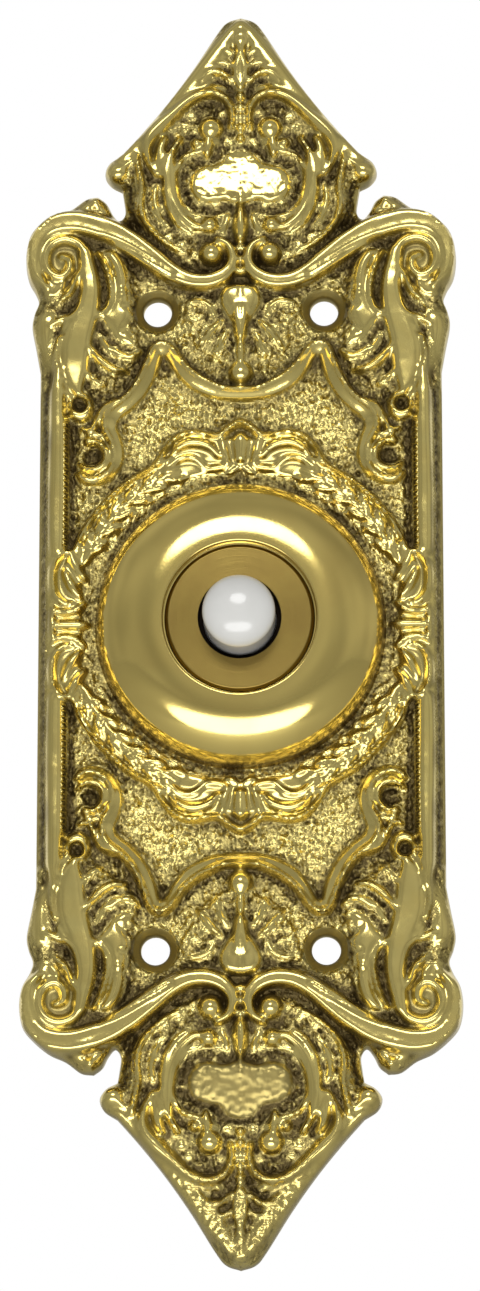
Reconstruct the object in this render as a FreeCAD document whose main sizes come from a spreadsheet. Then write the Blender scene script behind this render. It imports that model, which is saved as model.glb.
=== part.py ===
import FreeCAD, Part
import Sketcher
import math
import os

# Doorbell push button on a cast brass plate with scrolls, leaves and a wreath.
# Millimetres. X runs to the right, Z up and Y into the wall; the wall's face is the plane Y = 0.
# The origin lies on the wall, at the middle of the four screw holes and of the button.

Vector = FreeCAD.Vector
doc = FreeCAD.newDocument("bell_push")
sheet = doc.addObject("Spreadsheet::Sheet", "dims")

# Sizes that can be set by themselves.
SIZES = [
    ("plate_height", 204.0),
    ("plate_width", 70.0),
    ("plate_ground", 3.2),
    ("plate_draft", 0.5),
    ("screw_span_across", 27.0),
    ("screw_span_up", 104.0),
    ("screw_hole", 4.6),
    ("screw_sink", 7.0),
    ("relief_slope", 0.55),
    ("scroll_rise", 6.3),
    ("volute_rise", 6.6),
    ("leaf_rise", 6.0),
    ("frame_rise", 5.2),
    ("rail_rise", 5.6),
    ("wreath_rise", 5.3),
    ("crest_rise", 6.0),
    ("lesser_drop", 0.8),
    ("fine_drop", 0.4),
    ("middle_field", 35.0),
    ("wreath_inner", 25.4),
    ("wreath_width", 3.0),
    ("wreath_leaves", 7),
    ("bezel_width", 46.6),
    ("bezel_height", 7.9),
    ("bezel_flank", 0.9),
    ("bezel_flank_lean", 0.3),
    ("lip_width", 25.0),
    ("lip_land", 0.6),
    ("lip_rebate", 0.8),
    ("spigot_width", 29.0),
    ("spigot_reach", 6.0),
    ("spigot_gap", 0.1),
    ("chamber_width", 21.0),
    ("cap_width", 23.6),
    ("cap_recess", 0.9),
    ("cap_thickness", 3.6),
    ("cap_edge", 0.5),
    ("cap_gap", 0.1),
    ("guide_mouth", 0.8),
    ("guide_mouth_depth", 2.4),
    ("button_width", 11.5),
    ("button_shank", 5.2),
    ("button_crown", 3.4),
    ("button_gap", 0.08),
    ("button_flange", 16.4),
    ("button_flange_thickness", 1.6),
    ("button_boss", 5.0),
    ("button_boss_length", 2.6),
    ("base_width", 25.0),
    ("base_thickness", 3.6),
    ("base_gap", 0.1),
    ("base_front", 0.5),
    ("base_ring_bore", 22.0),
    ("base_ring_thickness", 1.8),
    ("strip_width", 4.0),
    ("strip_thickness", 0.35),
    ("leaf_end", 2.4),
    ("leaf_flat", 4.6),
    ("leaf_foot", 2.3),
    ("fixed_end", 0.2),
    ("stud_inset", 0.2),
    ("stud_width", 2.0),
    ("stud_height", 0.35),
    ("terminal_span", 15.6),
    ("terminal_screw", 2.6),
    ("terminal_head", 4.4),
    ("terminal_head_height", 1.4),
    ("terminal_slot", 0.6),
    ("terminal_nut", 4.6),
    ("lock_nut_height", 1.8),
    ("clamp_nut_height", 2.2),
    ("terminal_washer", 5.2),
    ("terminal_washer_thickness", 0.5),
    ("terminal_spare", 0.9),
    ("terminal_gap", 0.1),
    ("washer_width", 38.0),
    ("washer_thickness", 0.8),
    ("ring_wall", 3.4),
    ("ring_height", 3.0),
    ("ring_notch", 3.2),
    ("ring_notch_depth", 1.6),
    ("ring_notches", 6),
]

# Places along Y that follow from the sizes, front to back.
PLACES = [
    ("lip_front", "-plate_ground - bezel_height"),
    ("cap_front", "lip_front + cap_recess"),
    ("cap_back", "cap_front + cap_thickness"),
    ("flange_back", "cap_back + button_flange_thickness"),
    ("boss_end", "flange_back + button_boss_length"),
    ("button_rim", "cap_front - button_shank"),
    ("base_back", "base_front + base_thickness"),
    ("base_ring_back", "base_back + base_ring_thickness"),
    ("strip_front", "base_front - strip_thickness"),
    ("lock_nut_back", "base_back + lock_nut_height"),
    ("clamp_washer_back", "lock_nut_back + terminal_washer_thickness"),
    ("clamp_nut_back", "clamp_washer_back + clamp_nut_height"),
    ("ring_back", "washer_thickness + ring_height"),
]

for number, (alias, size) in enumerate(SIZES, start=1):
    sheet.set("A" + str(number), alias)
    sheet.set("B" + str(number), str(size))
    sheet.setAlias("B" + str(number), alias)
doc.recompute()
for number, (alias, formula) in enumerate(PLACES, start=1):
    sheet.set("C" + str(number), alias)
    sheet.set("D" + str(number), "=" + formula)
    sheet.setAlias("D" + str(number), alias)
doc.recompute()


def value(text):
    """The number that an expression on the sheet's sizes gives."""
    return float(sheet.evalExpression(text.replace("dims.", "")))


def origin_plane(body, role):
    return [feature for feature in body.Origin.OriginFeatures if feature.Role == role][0]


def turned(label, profile, bulges=None):
    """A body turned about the button's axis from corners given as (radius, depth) expressions.

    bulges gives, for the side that starts at a corner, the expression of its outward arc's radius.
    """
    bulges = bulges or {}
    body = doc.addObject("PartDesign::Body", label)
    body.Label = label
    sketch = body.newObject("Sketcher::SketchObject", label + "_profile")
    sketch.AttachmentSupport = [(origin_plane(body, "XY_Plane"), "")]
    sketch.MapMode = "FlatFace"
    corners = [Vector(value(r), value(y), 0) for r, y in profile]
    count = len(corners)
    first_end = {}
    for side, corner in enumerate(corners):
        after = corners[(side + 1) % count]
        first_end[side] = 1
        geometry = Part.LineSegment(corner, after)
        if side in bulges:
            radius = value(bulges[side])
            half = (after - corner).Length / 2
            across = Vector(after.y - corner.y, corner.x - after.x, 0).normalize()
            centre = (corner + after) * 0.5 - across * math.sqrt(radius ** 2 - half ** 2)
            crest = centre + across * radius
            geometry = Part.Arc(corner, crest, after)
        added = sketch.addGeometry(geometry, False)
        if side in bulges and (sketch.getPoint(added, 1) - corner).Length > 0.001:
            first_end[side] = 2
    for side in range(count):
        after = (side + 1) % count
        sketch.addConstraint(
            Sketcher.Constraint("Coincident", side, 3 - first_end[side], after, first_end[after])
        )
    for side, corner in enumerate(profile):
        for axis, text in zip(("DistanceX", "DistanceY"), corner):
            if text == "0":
                line = -2 if axis == "DistanceX" else -1
                sketch.addConstraint(Sketcher.Constraint("PointOnObject", side, first_end[side], line))
                continue
            held = sketch.addConstraint(
                Sketcher.Constraint(axis, -1, 1, side, first_end[side], value(text))
            )
            sketch.setExpression("Constraints[%d]" % held, text)
    for side, text in bulges.items():
        held = sketch.addConstraint(Sketcher.Constraint("Radius", side, value(text)))
        sketch.setExpression("Constraints[%d]" % held, text)
    turn = body.newObject("PartDesign::Revolution", label + "_turn")
    turn.Profile = sketch
    turn.ReferenceAxis = (sketch, ["V_Axis"])
    turn.Angle = 360
    return body


def along_y(kind, label, sizes, x="0", y="0", z="0"):
    """A Part primitive with its axis along Y, its sizes and its place bound to the sheet."""
    solid = doc.addObject("Part::" + kind, label)
    for name, text in sizes.items():
        solid.setExpression(name, text)
    solid.Placement = FreeCAD.Placement(Vector(), FreeCAD.Rotation(Vector(1, 0, 0), -90))
    for axis, text in zip("xyz", (x, y, z)):
        solid.setExpression("Placement.Base." + axis, text)
    return solid


def combined(kind, label, *operands):
    result = doc.addObject("Part::" + kind, label)
    if kind == "Cut":
        result.Base, result.Tool = operands
    else:
        result.Shapes = list(operands)
    result.Label = label
    return result


# The ornament is drawn on one quarter of the plate, in millimetres right and up of the centre.
# These are the landmarks of the drawing, and where the sheet puts them.
DRAWN_ACROSS = [0.0, 13.5, 35.0]
SET_ACROSS = ["0", "dims.screw_span_across / 2", "dims.plate_width / 2"]
DRAWN_UP = [0.0, 35.0, 52.0, 102.0]
SET_UP = ["0", "dims.middle_field", "dims.screw_span_up / 2", "dims.plate_height / 2"]


def followed(drawn, marks, texts):
    """A drawn distance, moved with the landmarks on either side of it."""
    places = [value(text) for text in texts]
    for low in range(len(marks) - 1):
        if drawn <= marks[low + 1] or low == len(marks) - 2:
            share = (drawn - marks[low]) / (marks[low + 1] - marks[low])
            return places[low] + share * (places[low + 1] - places[low])


def spot(x, z):
    return (followed(x, DRAWN_ACROSS, SET_ACROSS), followed(z, DRAWN_UP, SET_UP))


def curve_through(points):
    curve = Part.BSplineCurve()
    curve.interpolate(points)
    return curve


def skinned(rings):
    """A closed solid of flat facets over a stack of rings with equally many corners."""
    faces = [Part.Face(Part.makePolygon(ring + ring[:1])) for ring in (rings[0], rings[-1])]
    for low, high in zip(rings, rings[1:]):
        for k in range(len(low)):
            after = (k + 1) % len(low)
            for corners in ((low[k], low[after], high[after]), (low[k], high[after], high[k])):
                faces.append(Part.Face(Part.makePolygon(list(corners) + [corners[0]])))
    return Part.makeSolid(Part.makeShell(faces))


def stations_along(curve, looseness):
    """Parameters along a curve, close together only where it bends."""
    places = curve.discretize(Deflection=looseness)
    return [curve.parameter(place) for place in places]


def band(path, halves, rise, looseness=0.25):
    """A raised ribbon that follows a path, wider at its root than at its top."""
    path = [spot(x, z) for x, z in path]
    middle = curve_through([Vector(x, 0, z) for x, z in path])
    marks = [middle.parameter(Vector(x, 0, z)) for x, z in path]
    slope = value("relief_slope")
    rings = []
    for inset, height in ((-slope / 2, value("plate_ground")), (slope, rise)):
        left = []
        right = []
        for station in stations_along(middle, looseness):
            low = max(k for k in range(len(marks) - 1) if marks[k] <= station + 1e-6)
            share = (station - marks[low]) / (marks[low + 1] - marks[low])
            half = halves[low] + share * (halves[low + 1] - halves[low])
            place = middle.value(station) - Vector(0, height, 0)
            out = middle.tangent(station)[0].cross(Vector(0, 1, 0)) * max(half - inset, 0.12)
            left.append(place + out)
            right.append(place - out)
        rings.append(left + right[::-1])
    return skinned(rings)


# How wide a boss, a leaf and a flat field are at their tops, as a share of their roots.
BOSS_TOP = 0.55
LEAF_TOP = 0.25
FIELD_TOP = 0.86


def boss(x, z, outline, rise, top_share=BOSS_TOP, turn=0.0):
    """A raised flat-topped boss, its outline given round its own centre."""
    centre = Vector(x, 0, z)
    tilt = FreeCAD.Rotation(Vector(0, -1, 0), turn)
    rings = []
    for share, height in ((1.0, value("plate_ground")), (top_share, rise)):
        corners = [centre + tilt.multVec(Vector(u * share, 0, w * share)) for u, w in outline]
        rings.append([corner - Vector(0, height, 0) for corner in corners])
    return skinned(rings)


def round_outline(radius, sides=8):
    steps = [2 * math.pi * (k + 0.5) / sides for k in range(sides)]
    return [(radius * math.cos(a), radius * math.sin(a)) for a in steps]


def leaf_outline(length, width):
    half = length / 2
    return [
        (-half, 0), (-half * 0.45, -width * 0.42), (half * 0.35, -width * 0.5),
        (half, 0), (half * 0.35, width * 0.5), (-half * 0.45, width * 0.42),
    ]


def kite_outline(length, width):
    return [(-length / 2, 0), (length * 0.1, -width / 2), (length / 2, 0), (length * 0.1, width / 2)]


def ball(x, z, radius, rise):
    place = spot(x, z)
    return boss(place[0], place[1], round_outline(radius), rise)


def leaf(x, z, length, width, turn, rise):
    place = spot(x, z)
    return boss(place[0], place[1], leaf_outline(length, width), rise, LEAF_TOP, turn)


# The plate's edge on the upper right quarter, from its tip down to its waist.
EDGE_TIP = [(0, 102), (2.3, 101.2), (4, 99.2), (8, 92.9), (12, 87.3), (16, 82.4), (19.4, 78.6)]
EDGE_EAR = [(19.4, 78.6), (21.5, 77.2), (22.2, 75.4), (21.2, 73.8), (19.4, 72.8)]
EDGE_NOTCH = [
    (19.4, 72.8), (19.1, 71.0), (18.9, 68.8), (19.8, 67.5), (20.9, 68.7), (21.8, 70.4), (23.2, 71.5),
]
EDGE_CORNER = [
    (23.2, 71.5), (25.2, 71.2), (27.6, 69.5), (30.2, 68.3), (32.6, 66.4), (34.4, 64.2), (35, 61),
    (34.6, 57.8), (33.4, 55.5), (32.9, 53.8), (33.6, 51.8), (33.9, 49.6), (33.2, 45.8), (32.5, 42),
]
WAIST = 32.5


def plate_slab():
    """One quarter of the plate's ground, with a drafted edge."""
    foot = []
    face = []
    for stretch in (EDGE_TIP, EDGE_EAR, EDGE_NOTCH, EDGE_CORNER):
        edge = curve_through([Vector(x, 0, z) for x, z in [spot(x, z) for x, z in stretch]])
        for station in stations_along(edge, 0.1):
            inward = edge.tangent(station)[0].cross(Vector(0, -1, 0))
            place = edge.value(station)
            if place.x < 0.01:
                inward = Vector(0, 0, -1)
            foot.append(place)
            face.append(place + inward * value("plate_draft"))
    waist = Vector(spot(WAIST, 0)[0], 0, 0)
    foot += [waist, Vector()]
    face += [waist - Vector(value("plate_draft"), 0, 0), Vector()]
    kept = [0]
    for k in range(1, len(foot)):
        if (foot[k] - foot[kept[-1]]).Length > 0.2:
            kept.append(k)
    rise = Vector(0, value("plate_ground"), 0)
    return skinned([[foot[k] for k in kept], [face[k] - rise for k in kept]])


def pad(outline, rise):
    """A raised flat field with an outline drawn in the plate's own millimetres."""
    outline = [spot(x, z) for x, z in outline]
    middle_x = sum(x for x, z in outline) / len(outline)
    middle_z = sum(z for x, z in outline) / len(outline)
    shape = [(x - middle_x, z - middle_z) for x, z in outline]
    return boss(middle_x, middle_z, shape, rise, FIELD_TOP)


def tapered(first, middle, last, count):
    """Half widths that swell from one end to the middle and fall away to the other."""
    shares = [k / (count - 1) for k in range(count)]
    return [
        first + (middle - first) * min(1, 3 * s) if s < 0.5 else last + (middle - last) * min(1, 3 * (1 - s))
        for s in shares
    ]


def swelling(path, first, middle, last, rise):
    return band(path, tapered(first, middle, last, len(path)), rise)


def scrolls():
    """The big S scroll, its two volutes and the strand below it."""
    rise = value("scroll_rise")
    volute = value("volute_rise")
    sweep = [
        (3.4, 63.4), (1.8, 61.8), (1.8, 59), (4, 57), (7, 56.3), (11, 57.3), (14.5, 59.8),
        (18, 62.8), (21.5, 65.2), (26, 66.5), (29.4, 66.0), (31.8, 64.2), (32.8, 61.4), (32.2, 58.4),
    ]
    curl = [
        (25.6, 57.6), (25.4, 60.2), (26.8, 62.3), (29.2, 63), (31.4, 62),
        (32.2, 59.8), (31.2, 57.4), (29, 56.6),
    ]
    strand = [(12.8, 57.9), (16.5, 60), (20.3, 62), (22.6, 63.3)]
    return [
        swelling(sweep, 0.8, 1.6, 0.9, rise),
        swelling(curl, 0.5, 0.95, 0.5, volute),
        swelling(strand, 0.4, 0.6, 0.4, rise - value("lesser_drop")),
        ball(4.9, 61.7, 1.9, volute),
        ball(29.0, 59.8, 1.7, volute),
    ]


def acanthus():
    """The broad leaf that hangs from the corner volute, with its inner leaf and curled tips."""
    rise = value("leaf_rise")
    low_rise = rise - value("lesser_drop")
    trunk = [(24.6, 60.6), (24.7, 57), (24.8, 53.4), (25.9, 49.3), (27.2, 45), (26.9, 41.5), (25.6, 38.3)]
    inner = [(20.6, 60.6), (19.5, 57.6), (19.4, 54), (19.3, 51), (18.7, 48), (17.6, 45.2)]
    rib = [(22.9, 60), (21.6, 57.9), (21.3, 55.4), (21.9, 52.6), (23.1, 50.4)]
    curls = [
        [(16.5, 44.1), (18.1, 44.0), (19.9, 45.0), (21.5, 47.3)],
        [(18.4, 41.5), (20.6, 41.8), (22.8, 43.2), (24.2, 45.7)],
        [(27.2, 57.6), (28.6, 55.2), (29.6, 52.6)],
        [(28.2, 52.6), (29.5, 50.2), (30.4, 47.6)],
    ]
    return [
        band(trunk, [0.8, 1.1, 1.5, 1.8, 2.2, 2.1, 1.0], rise),
        band(inner, [1.1, 1.7, 1.8, 2.0, 1.8, 0.7], low_rise),
        swelling(rib, 0.35, 0.5, 0.35, rise - value("fine_drop")),
    ] + [swelling(curl, 0.35, 0.75, 0.35, low_rise) for curl in curls]


def panel_frame():
    """The moulding that arches over the wreath, dips round the screw and ends in a small scroll."""
    rise = value("frame_rise")
    arch = [(-2, 38.3), (0, 38.3), (4, 38.7), (7.1, 40.1), (9.5, 42.4), (11.3, 44.6), (12.9, 46.1)]
    flank = [
        (12.9, 46.1), (14.2, 43.9), (15.8, 40.4), (18.1, 37), (20.6, 34.6), (21.5, 32), (20.9, 29.4),
        (20.7, 27), (21.8, 25.2), (23.8, 24.5), (25.8, 25.2), (26.6, 27.2),
    ]
    twig = [(25.9, 31.2), (24.8, 33.4), (23.2, 35.6)]
    return [
        band(arch, [1.3, 1.3, 1.25, 1.2, 1.2, 1.2, 1.1], rise),
        band(flank, [1.1, 1.2, 1.2, 1.2, 1.2, 1.2, 1.0, 0.9, 0.8, 0.8, 0.7, 0.5], rise),
        swelling(twig, 0.4, 0.9, 0.4, rise),
        ball(23.4, 31.4, 0.9, rise),
        ball(26.0, 36.3, 1.7, rise),
    ]


def rails():
    """The straight rail down the long edge, and the bead inside it."""
    rise = value("rail_rise")
    return [
        band([(30.8, 43), (31.0, 38), (31.0, -2)], [0.7, 0.9, 0.9], rise),
        band([(27.9, 37), (27.9, 11)], [0.5, 0.5], rise - value("lesser_drop")),
    ]


def wreath():
    """The ring of laurel round the bezel, its bead, and the clasps at its side and top."""
    rise = value("wreath_rise")
    inner = value("wreath_inner")
    width = value("wreath_width")
    leaves = int(value("wreath_leaves"))
    first_angle, last_angle = 27.0, 61.0
    inner_share, outer_share = 0.28, 0.78
    lean = 28.0
    outer_lead = 1.6
    bead_reach = inner + width + 0.4
    bead_lead = 3.0
    bead_points = 5
    pieces = []
    for k in range(leaves):
        angle = first_angle + (last_angle - first_angle) * k / (leaves - 1)
        for share, lead, turned_by in ((inner_share, 0, 90 - lean), (outer_share, outer_lead, 90 + lean)):
            reach = inner + width * share
            turn = math.radians(angle + lead)
            outline = kite_outline(width * 1.3, width * 0.56)
            pieces.append(boss(
                reach * math.cos(turn), reach * math.sin(turn), outline, rise, LEAF_TOP, angle + turned_by
            ))
    bead = []
    for k in range(bead_points):
        span = last_angle - first_angle + 2 * bead_lead
        angle = math.radians(first_angle - bead_lead + span * k / (bead_points - 1))
        bead.append((bead_reach * math.cos(angle), bead_reach * math.sin(angle)))
    pieces.append(band(bead, [0.5] * bead_points, rise - value("fine_drop")))
    crescent = [(28.0, 10.8), (29.4, 10.2), (29.9, 8), (29.5, 5.6), (28.4, 3.9), (27.2, 3.3)]
    apex = [
        (-2, 32.4), (0, 33.5), (1.8, 32.4), (3.3, 31.4), (5, 31), (7.2, 31.4), (9.3, 31.1),
        (11.1, 30.1), (12.5, 28.2), (13.3, 26.8),
    ]
    spray = [(3.9, 28.0), (5.5, 29.3), (7.8, 29.6), (10.4, 29.0)]
    pieces += [
        swelling(crescent, 0.4, 0.65, 0.4, rise),
        swelling(apex, 0.5, 0.55, 0.4, rise),
        swelling(spray, 0.35, 0.75, 0.35, rise),
    ]
    for x, z, length, wide, turn in (
        (27.8, 0, 4.8, 2.2, 0), (27.4, 2.0, 4.4, 1.5, 22), (26.9, 6.6, 5.0, 2.4, 72),
        (26.2, 10.9, 4.2, 2.0, 66), (1.7, 28.4, 4.6, 1.9, 105), (6.4, 27.2, 3.8, 1.5, 165),
        (9.7, 26.6, 3.8, 1.6, 150), (3.6, 26.4, 3.6, 1.5, 170), (0, 30.9, 2.6, 2.0, 90),
    ):
        pieces.append(leaf(x, z, length, wide, turn, rise))
    return pieces


def palmette():
    """The fan between the two scrolls, over the drop that hangs above the wreath."""
    rise = value("leaf_rise")
    pieces = [ball(0, 44.6, 1.6, rise)]
    for x, z, length, wide, turn in (
        (1.1, 53.2, 7.4, 1.8, 94), (3.0, 52.6, 6.6, 1.9, 108), (5.2, 51.6, 5.4, 1.8, 128),
        (6.6, 49.2, 4.6, 1.6, 158), (4.6, 46.6, 4.0, 1.6, 40), (1.8, 48.2, 3.8, 1.7, 74),
    ):
        pieces.append(leaf(x, z, length, wide, turn, rise - value("fine_drop")))
    return pieces


def crest():
    """The pointed head: a plain field between two C scrolls, a beaded stem and leaves to the tip."""
    rise = value("crest_rise")
    low_rise = rise - value("lesser_drop")
    field = [(-3, 77.5), (3, 77), (5, 75.7), (8, 75.4), (8.6, 73.5), (7.5, 71.6), (4, 70.5), (-3, 70.3)]
    inner_scroll = [
        (5.4, 80.3), (7.9, 80), (9.8, 78), (10.8, 75.5), (11.2, 72.5), (10.7, 69), (9, 66.8), (7, 65.8),
    ]
    outer_scroll = [
        (3.0, 81.4), (2.2, 84.0), (3.4, 86.8), (6, 87.5), (8.2, 86.9), (10, 85.5), (12, 83.2),
        (14, 80.8), (14.9, 78.6), (14.8, 76.2), (13.9, 74.0),
    ]
    lower_scroll = [
        (16.6, 78.6), (17.1, 75.2), (16.5, 71.2), (15.4, 67.6), (13.5, 64.8), (11, 62.7), (8.5, 61.3),
    ]
    pieces = [
        pad(field, value("frame_rise")),
        swelling(inner_scroll, 0.6, 0.95, 0.6, rise),
        band(outer_scroll, [0.5, 0.6, 0.7, 0.8, 0.8, 0.9, 1.1, 1.4, 1.2, 0.9, 0.5], rise),
        swelling(lower_scroll, 0.5, 0.6, 0.4, rise - value("fine_drop")),
        ball(5.0, 65.6, 1.5, rise),
        ball(6.0, 78.9, 1.2, rise),
        ball(5.6, 83.4, 1.9, rise),
        ball(0, 99, 1.8, low_rise),
        ball(0, 61.2, 1.4, rise),
    ]
    pieces += [ball(0, z, 0.9, low_rise) for z in (82.6, 84.8, 87.0)]
    for x, z, length, wide, turn in (
        (0, 66.8, 7.0, 3.8, 90), (2.9, 96.2, 3.8, 1.9, 130), (3.6, 92.4, 5.0, 2.0, 160),
        (3.8, 90.0, 5.4, 1.7, 172), (1.1, 92.8, 5.6, 1.6, 96), (19.6, 75.6, 4.0, 2.6, 150),
        (24.2, 69.4, 3.4, 2.2, 60), (9.2, 62.6, 4.6, 1.6, 35), (12.6, 70.6, 6.0, 1.8, 80),
    ):
        pieces.append(leaf(x, z, length, wide, turn, low_rise))
    return pieces


def plate_relief():
    """The whole casting before its holes: one quarter carved, then mirrored across and up."""
    reach = value("plate_height")
    pieces = scrolls() + acanthus() + panel_frame() + rails() + wreath() + palmette() + crest()
    quarter = plate_slab().fuse(pieces)
    quarter = quarter.common(Part.makeBox(reach, 2 * reach, reach, Vector(0, -reach, 0)))
    quarter = quarter.removeSplitter()
    half = quarter.fuse(quarter.mirror(Vector(), Vector(1, 0, 0)))
    whole = half.fuse(half.mirror(Vector(), Vector(0, 0, 1)))
    return whole.Solids[0]


# The casting is bored for the bezel's spigot and countersunk for the four screws.
relief = doc.addObject("Part::Feature", "plate_relief")
relief.Shape = plate_relief()
spigot_bore = along_y(
    "Cylinder", "spigot_bore",
    {"Radius": "dims.spigot_width / 2 + dims.spigot_gap", "Height": "2 * dims.plate_ground"},
    y="-1.5 * dims.plate_ground",
)
hole_tools = [spigot_bore]
for across in ("-", ""):
    for up in ("-", ""):
        name = "_" + ("left" if across else "right") + ("_low" if up else "_high")
        x = across + "dims.screw_span_across / 2"
        z = up + "dims.screw_span_up / 2"
        hole_tools.append(along_y(
            "Cylinder", "screw_way" + name,
            {"Radius": "dims.screw_hole / 2", "Height": "3 * dims.plate_ground"},
            x=x, y="-2 * dims.plate_ground", z=z,
        ))
        hole_tools.append(along_y(
            "Cone", "screw_sink" + name,
            {
                "Radius1": "dims.screw_sink / 2", "Radius2": "dims.screw_hole / 2",
                "Height": "(dims.screw_sink - dims.screw_hole) / 2",
            },
            x=x, y="-dims.plate_ground", z=z,
        ))
        hole_tools.append(along_y(
            "Cylinder", "screw_clear" + name,
            {"Radius": "dims.screw_sink / 2", "Height": "dims.volute_rise"},
            x=x, y="-dims.plate_ground - dims.volute_rise", z=z,
        ))
plate_holes = combined("MultiFuse", "plate_holes", *hole_tools)
back_plate = combined("Cut", "back_plate", relief, plate_holes)

# Turned brass bezel with a threaded spigot. Its crown is a quarter round from the lip to a short flank.
crown_reach = "(dims.bezel_width / 2 - dims.bezel_flank_lean - dims.lip_width / 2 - dims.lip_land)"
crown_drop = "(dims.bezel_height - dims.bezel_flank)"
crown_radius = "sqrt((" + crown_reach + " ^ 2 + " + crown_drop + " ^ 2) / 2)"
bezel_profile = [
    ("dims.spigot_width / 2", "-dims.plate_ground"),
    ("dims.spigot_width / 2", "dims.spigot_reach"),
    ("dims.base_width / 2 + dims.base_gap", "dims.spigot_reach"),
    ("dims.base_width / 2 + dims.base_gap", "dims.base_front"),
    ("dims.chamber_width / 2", "dims.base_front"),
    ("dims.chamber_width / 2", "dims.cap_back"),
    ("dims.cap_width / 2 + dims.cap_gap", "dims.cap_back"),
    ("dims.cap_width / 2 + dims.cap_gap", "dims.cap_front + dims.lip_rebate"),
    ("dims.lip_width / 2", "dims.cap_front + dims.lip_rebate"),
    ("dims.lip_width / 2", "dims.lip_front"),
    ("dims.lip_width / 2 + dims.lip_land", "dims.lip_front"),
    ("dims.bezel_width / 2 - dims.bezel_flank_lean", "-dims.plate_ground - dims.bezel_flank"),
    ("dims.bezel_width / 2", "-dims.plate_ground"),
]
crown_side = len(bezel_profile) - 3
bezel = turned("bezel", bezel_profile, {crown_side: crown_radius})

# Satin guide cap that closes the bezel and guides the button.
cap_bore = "dims.button_width / 2 + dims.button_gap"
cap_mouth = cap_bore + " + dims.guide_mouth"
guide_cap = turned("guide_cap", [
    (cap_bore, "dims.cap_back"),
    ("dims.cap_width / 2", "dims.cap_back"),
    ("dims.cap_width / 2", "dims.cap_front + dims.cap_edge"),
    ("dims.cap_width / 2 - dims.cap_edge", "dims.cap_front"),
    (cap_mouth, "dims.cap_front"),
    (cap_mouth, "dims.cap_front + dims.guide_mouth_depth"),
    (cap_bore, "dims.cap_front + dims.guide_mouth_depth"),
])

# White button: a shank with a crowned end, a flange that stops it and a boss that bears on the leaf.
push_button = turned("push_button", [
    ("0", "dims.button_rim - dims.button_crown"),
    ("dims.button_width / 2", "dims.button_rim"),
    ("dims.button_width / 2", "dims.cap_back"),
    ("dims.button_flange / 2", "dims.cap_back"),
    ("dims.button_flange / 2", "dims.flange_back"),
    ("dims.button_boss / 2", "dims.flange_back"),
    ("dims.button_boss / 2", "dims.boss_end"),
    ("0", "dims.boss_end"),
], {0: "(dims.button_width ^ 2 / 4 + dims.button_crown ^ 2) / (2 * dims.button_crown)"})


def terminal_holes(label, height, y):
    """The two holes for the terminal screws, as one tool."""
    bores = []
    for side, sign in (("left", "-"), ("right", "")):
        bores.append(along_y(
            "Cylinder", label + "_" + side,
            {"Radius": "dims.terminal_screw / 2 + dims.terminal_gap", "Height": height},
            x=sign + "dims.terminal_span / 2", y=y,
        ))
    return combined("MultiFuse", label, *bores)


# Moulded contact base, held against the bezel's step by a ring.
base_disc = along_y(
    "Cylinder", "base_disc",
    {"Radius": "dims.base_width / 2", "Height": "dims.base_thickness"}, y="dims.base_front",
)
base_holes = terminal_holes("base_holes", "3 * dims.base_thickness", "dims.base_front - dims.base_thickness")
contact_base = combined("Cut", "contact_base", base_disc, base_holes)

base_ring = turned("base_ring", [
    ("dims.base_ring_bore / 2", "dims.base_back"),
    ("dims.base_width / 2", "dims.base_back"),
    ("dims.base_width / 2", "dims.base_ring_back"),
    ("dims.base_ring_bore / 2", "dims.base_ring_back"),
])


def strip(label, back_line, front_line, hole_side):
    """A bent contact strip: a side view padded to the strip's width, then drilled for its screw."""
    body = doc.addObject("PartDesign::Body", label + "_strip")
    sketch = body.newObject("Sketcher::SketchObject", label + "_side")
    sketch.AttachmentSupport = [(origin_plane(body, "XY_Plane"), "")]
    sketch.MapMode = "FlatFace"
    outline = back_line + front_line[::-1]
    corners = [Vector(value(x), value(y), 0) for x, y in outline]
    count = len(corners)
    for side in range(count):
        sketch.addGeometry(Part.LineSegment(corners[side], corners[(side + 1) % count]), False)
    for side in range(count):
        sketch.addConstraint(Sketcher.Constraint("Coincident", side, 2, (side + 1) % count, 1))
    for side, corner in enumerate(outline):
        for axis, text in zip(("DistanceX", "DistanceY"), corner):
            held = sketch.addConstraint(Sketcher.Constraint(axis, -1, 1, side, 1, value(text)))
            sketch.setExpression("Constraints[%d]" % held, text)
    padded = body.newObject("PartDesign::Pad", label + "_pad")
    padded.Profile = sketch
    padded.Midplane = True
    padded.setExpression("Length", "dims.strip_width")
    hole = along_y(
        "Cylinder", label + "_hole",
        {"Radius": "dims.terminal_screw / 2 + dims.terminal_gap", "Height": "4 * dims.strip_thickness"},
        x=hole_side + "dims.terminal_span / 2", y="dims.strip_front - dims.strip_thickness",
    )
    doc.recompute()
    return combined("Cut", label, body, hole)


# The springy leaf runs from its terminal to under the button; the fixed contact lies below it.
root_end = "-dims.terminal_span / 2 - dims.leaf_foot"
bend = "-dims.terminal_span / 2 + dims.leaf_foot"
tip_start = "dims.leaf_end - dims.leaf_flat"
contact_leaf = strip("contact_leaf", [
    (root_end, "dims.base_front"),
    (bend, "dims.base_front"),
    (tip_start, "dims.boss_end + dims.strip_thickness"),
    ("dims.leaf_end", "dims.boss_end + dims.strip_thickness"),
], [
    (root_end, "dims.strip_front"),
    (bend, "dims.strip_front"),
    (tip_start, "dims.boss_end"),
    ("dims.leaf_end", "dims.boss_end"),
], "-")
fixed_contact = strip("fixed_contact", [
    ("dims.fixed_end", "dims.base_front"),
    ("dims.terminal_span / 2 + dims.leaf_foot", "dims.base_front"),
], [
    ("dims.fixed_end", "dims.strip_front"),
    ("dims.terminal_span / 2 + dims.leaf_foot", "dims.strip_front"),
], "")
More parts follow.
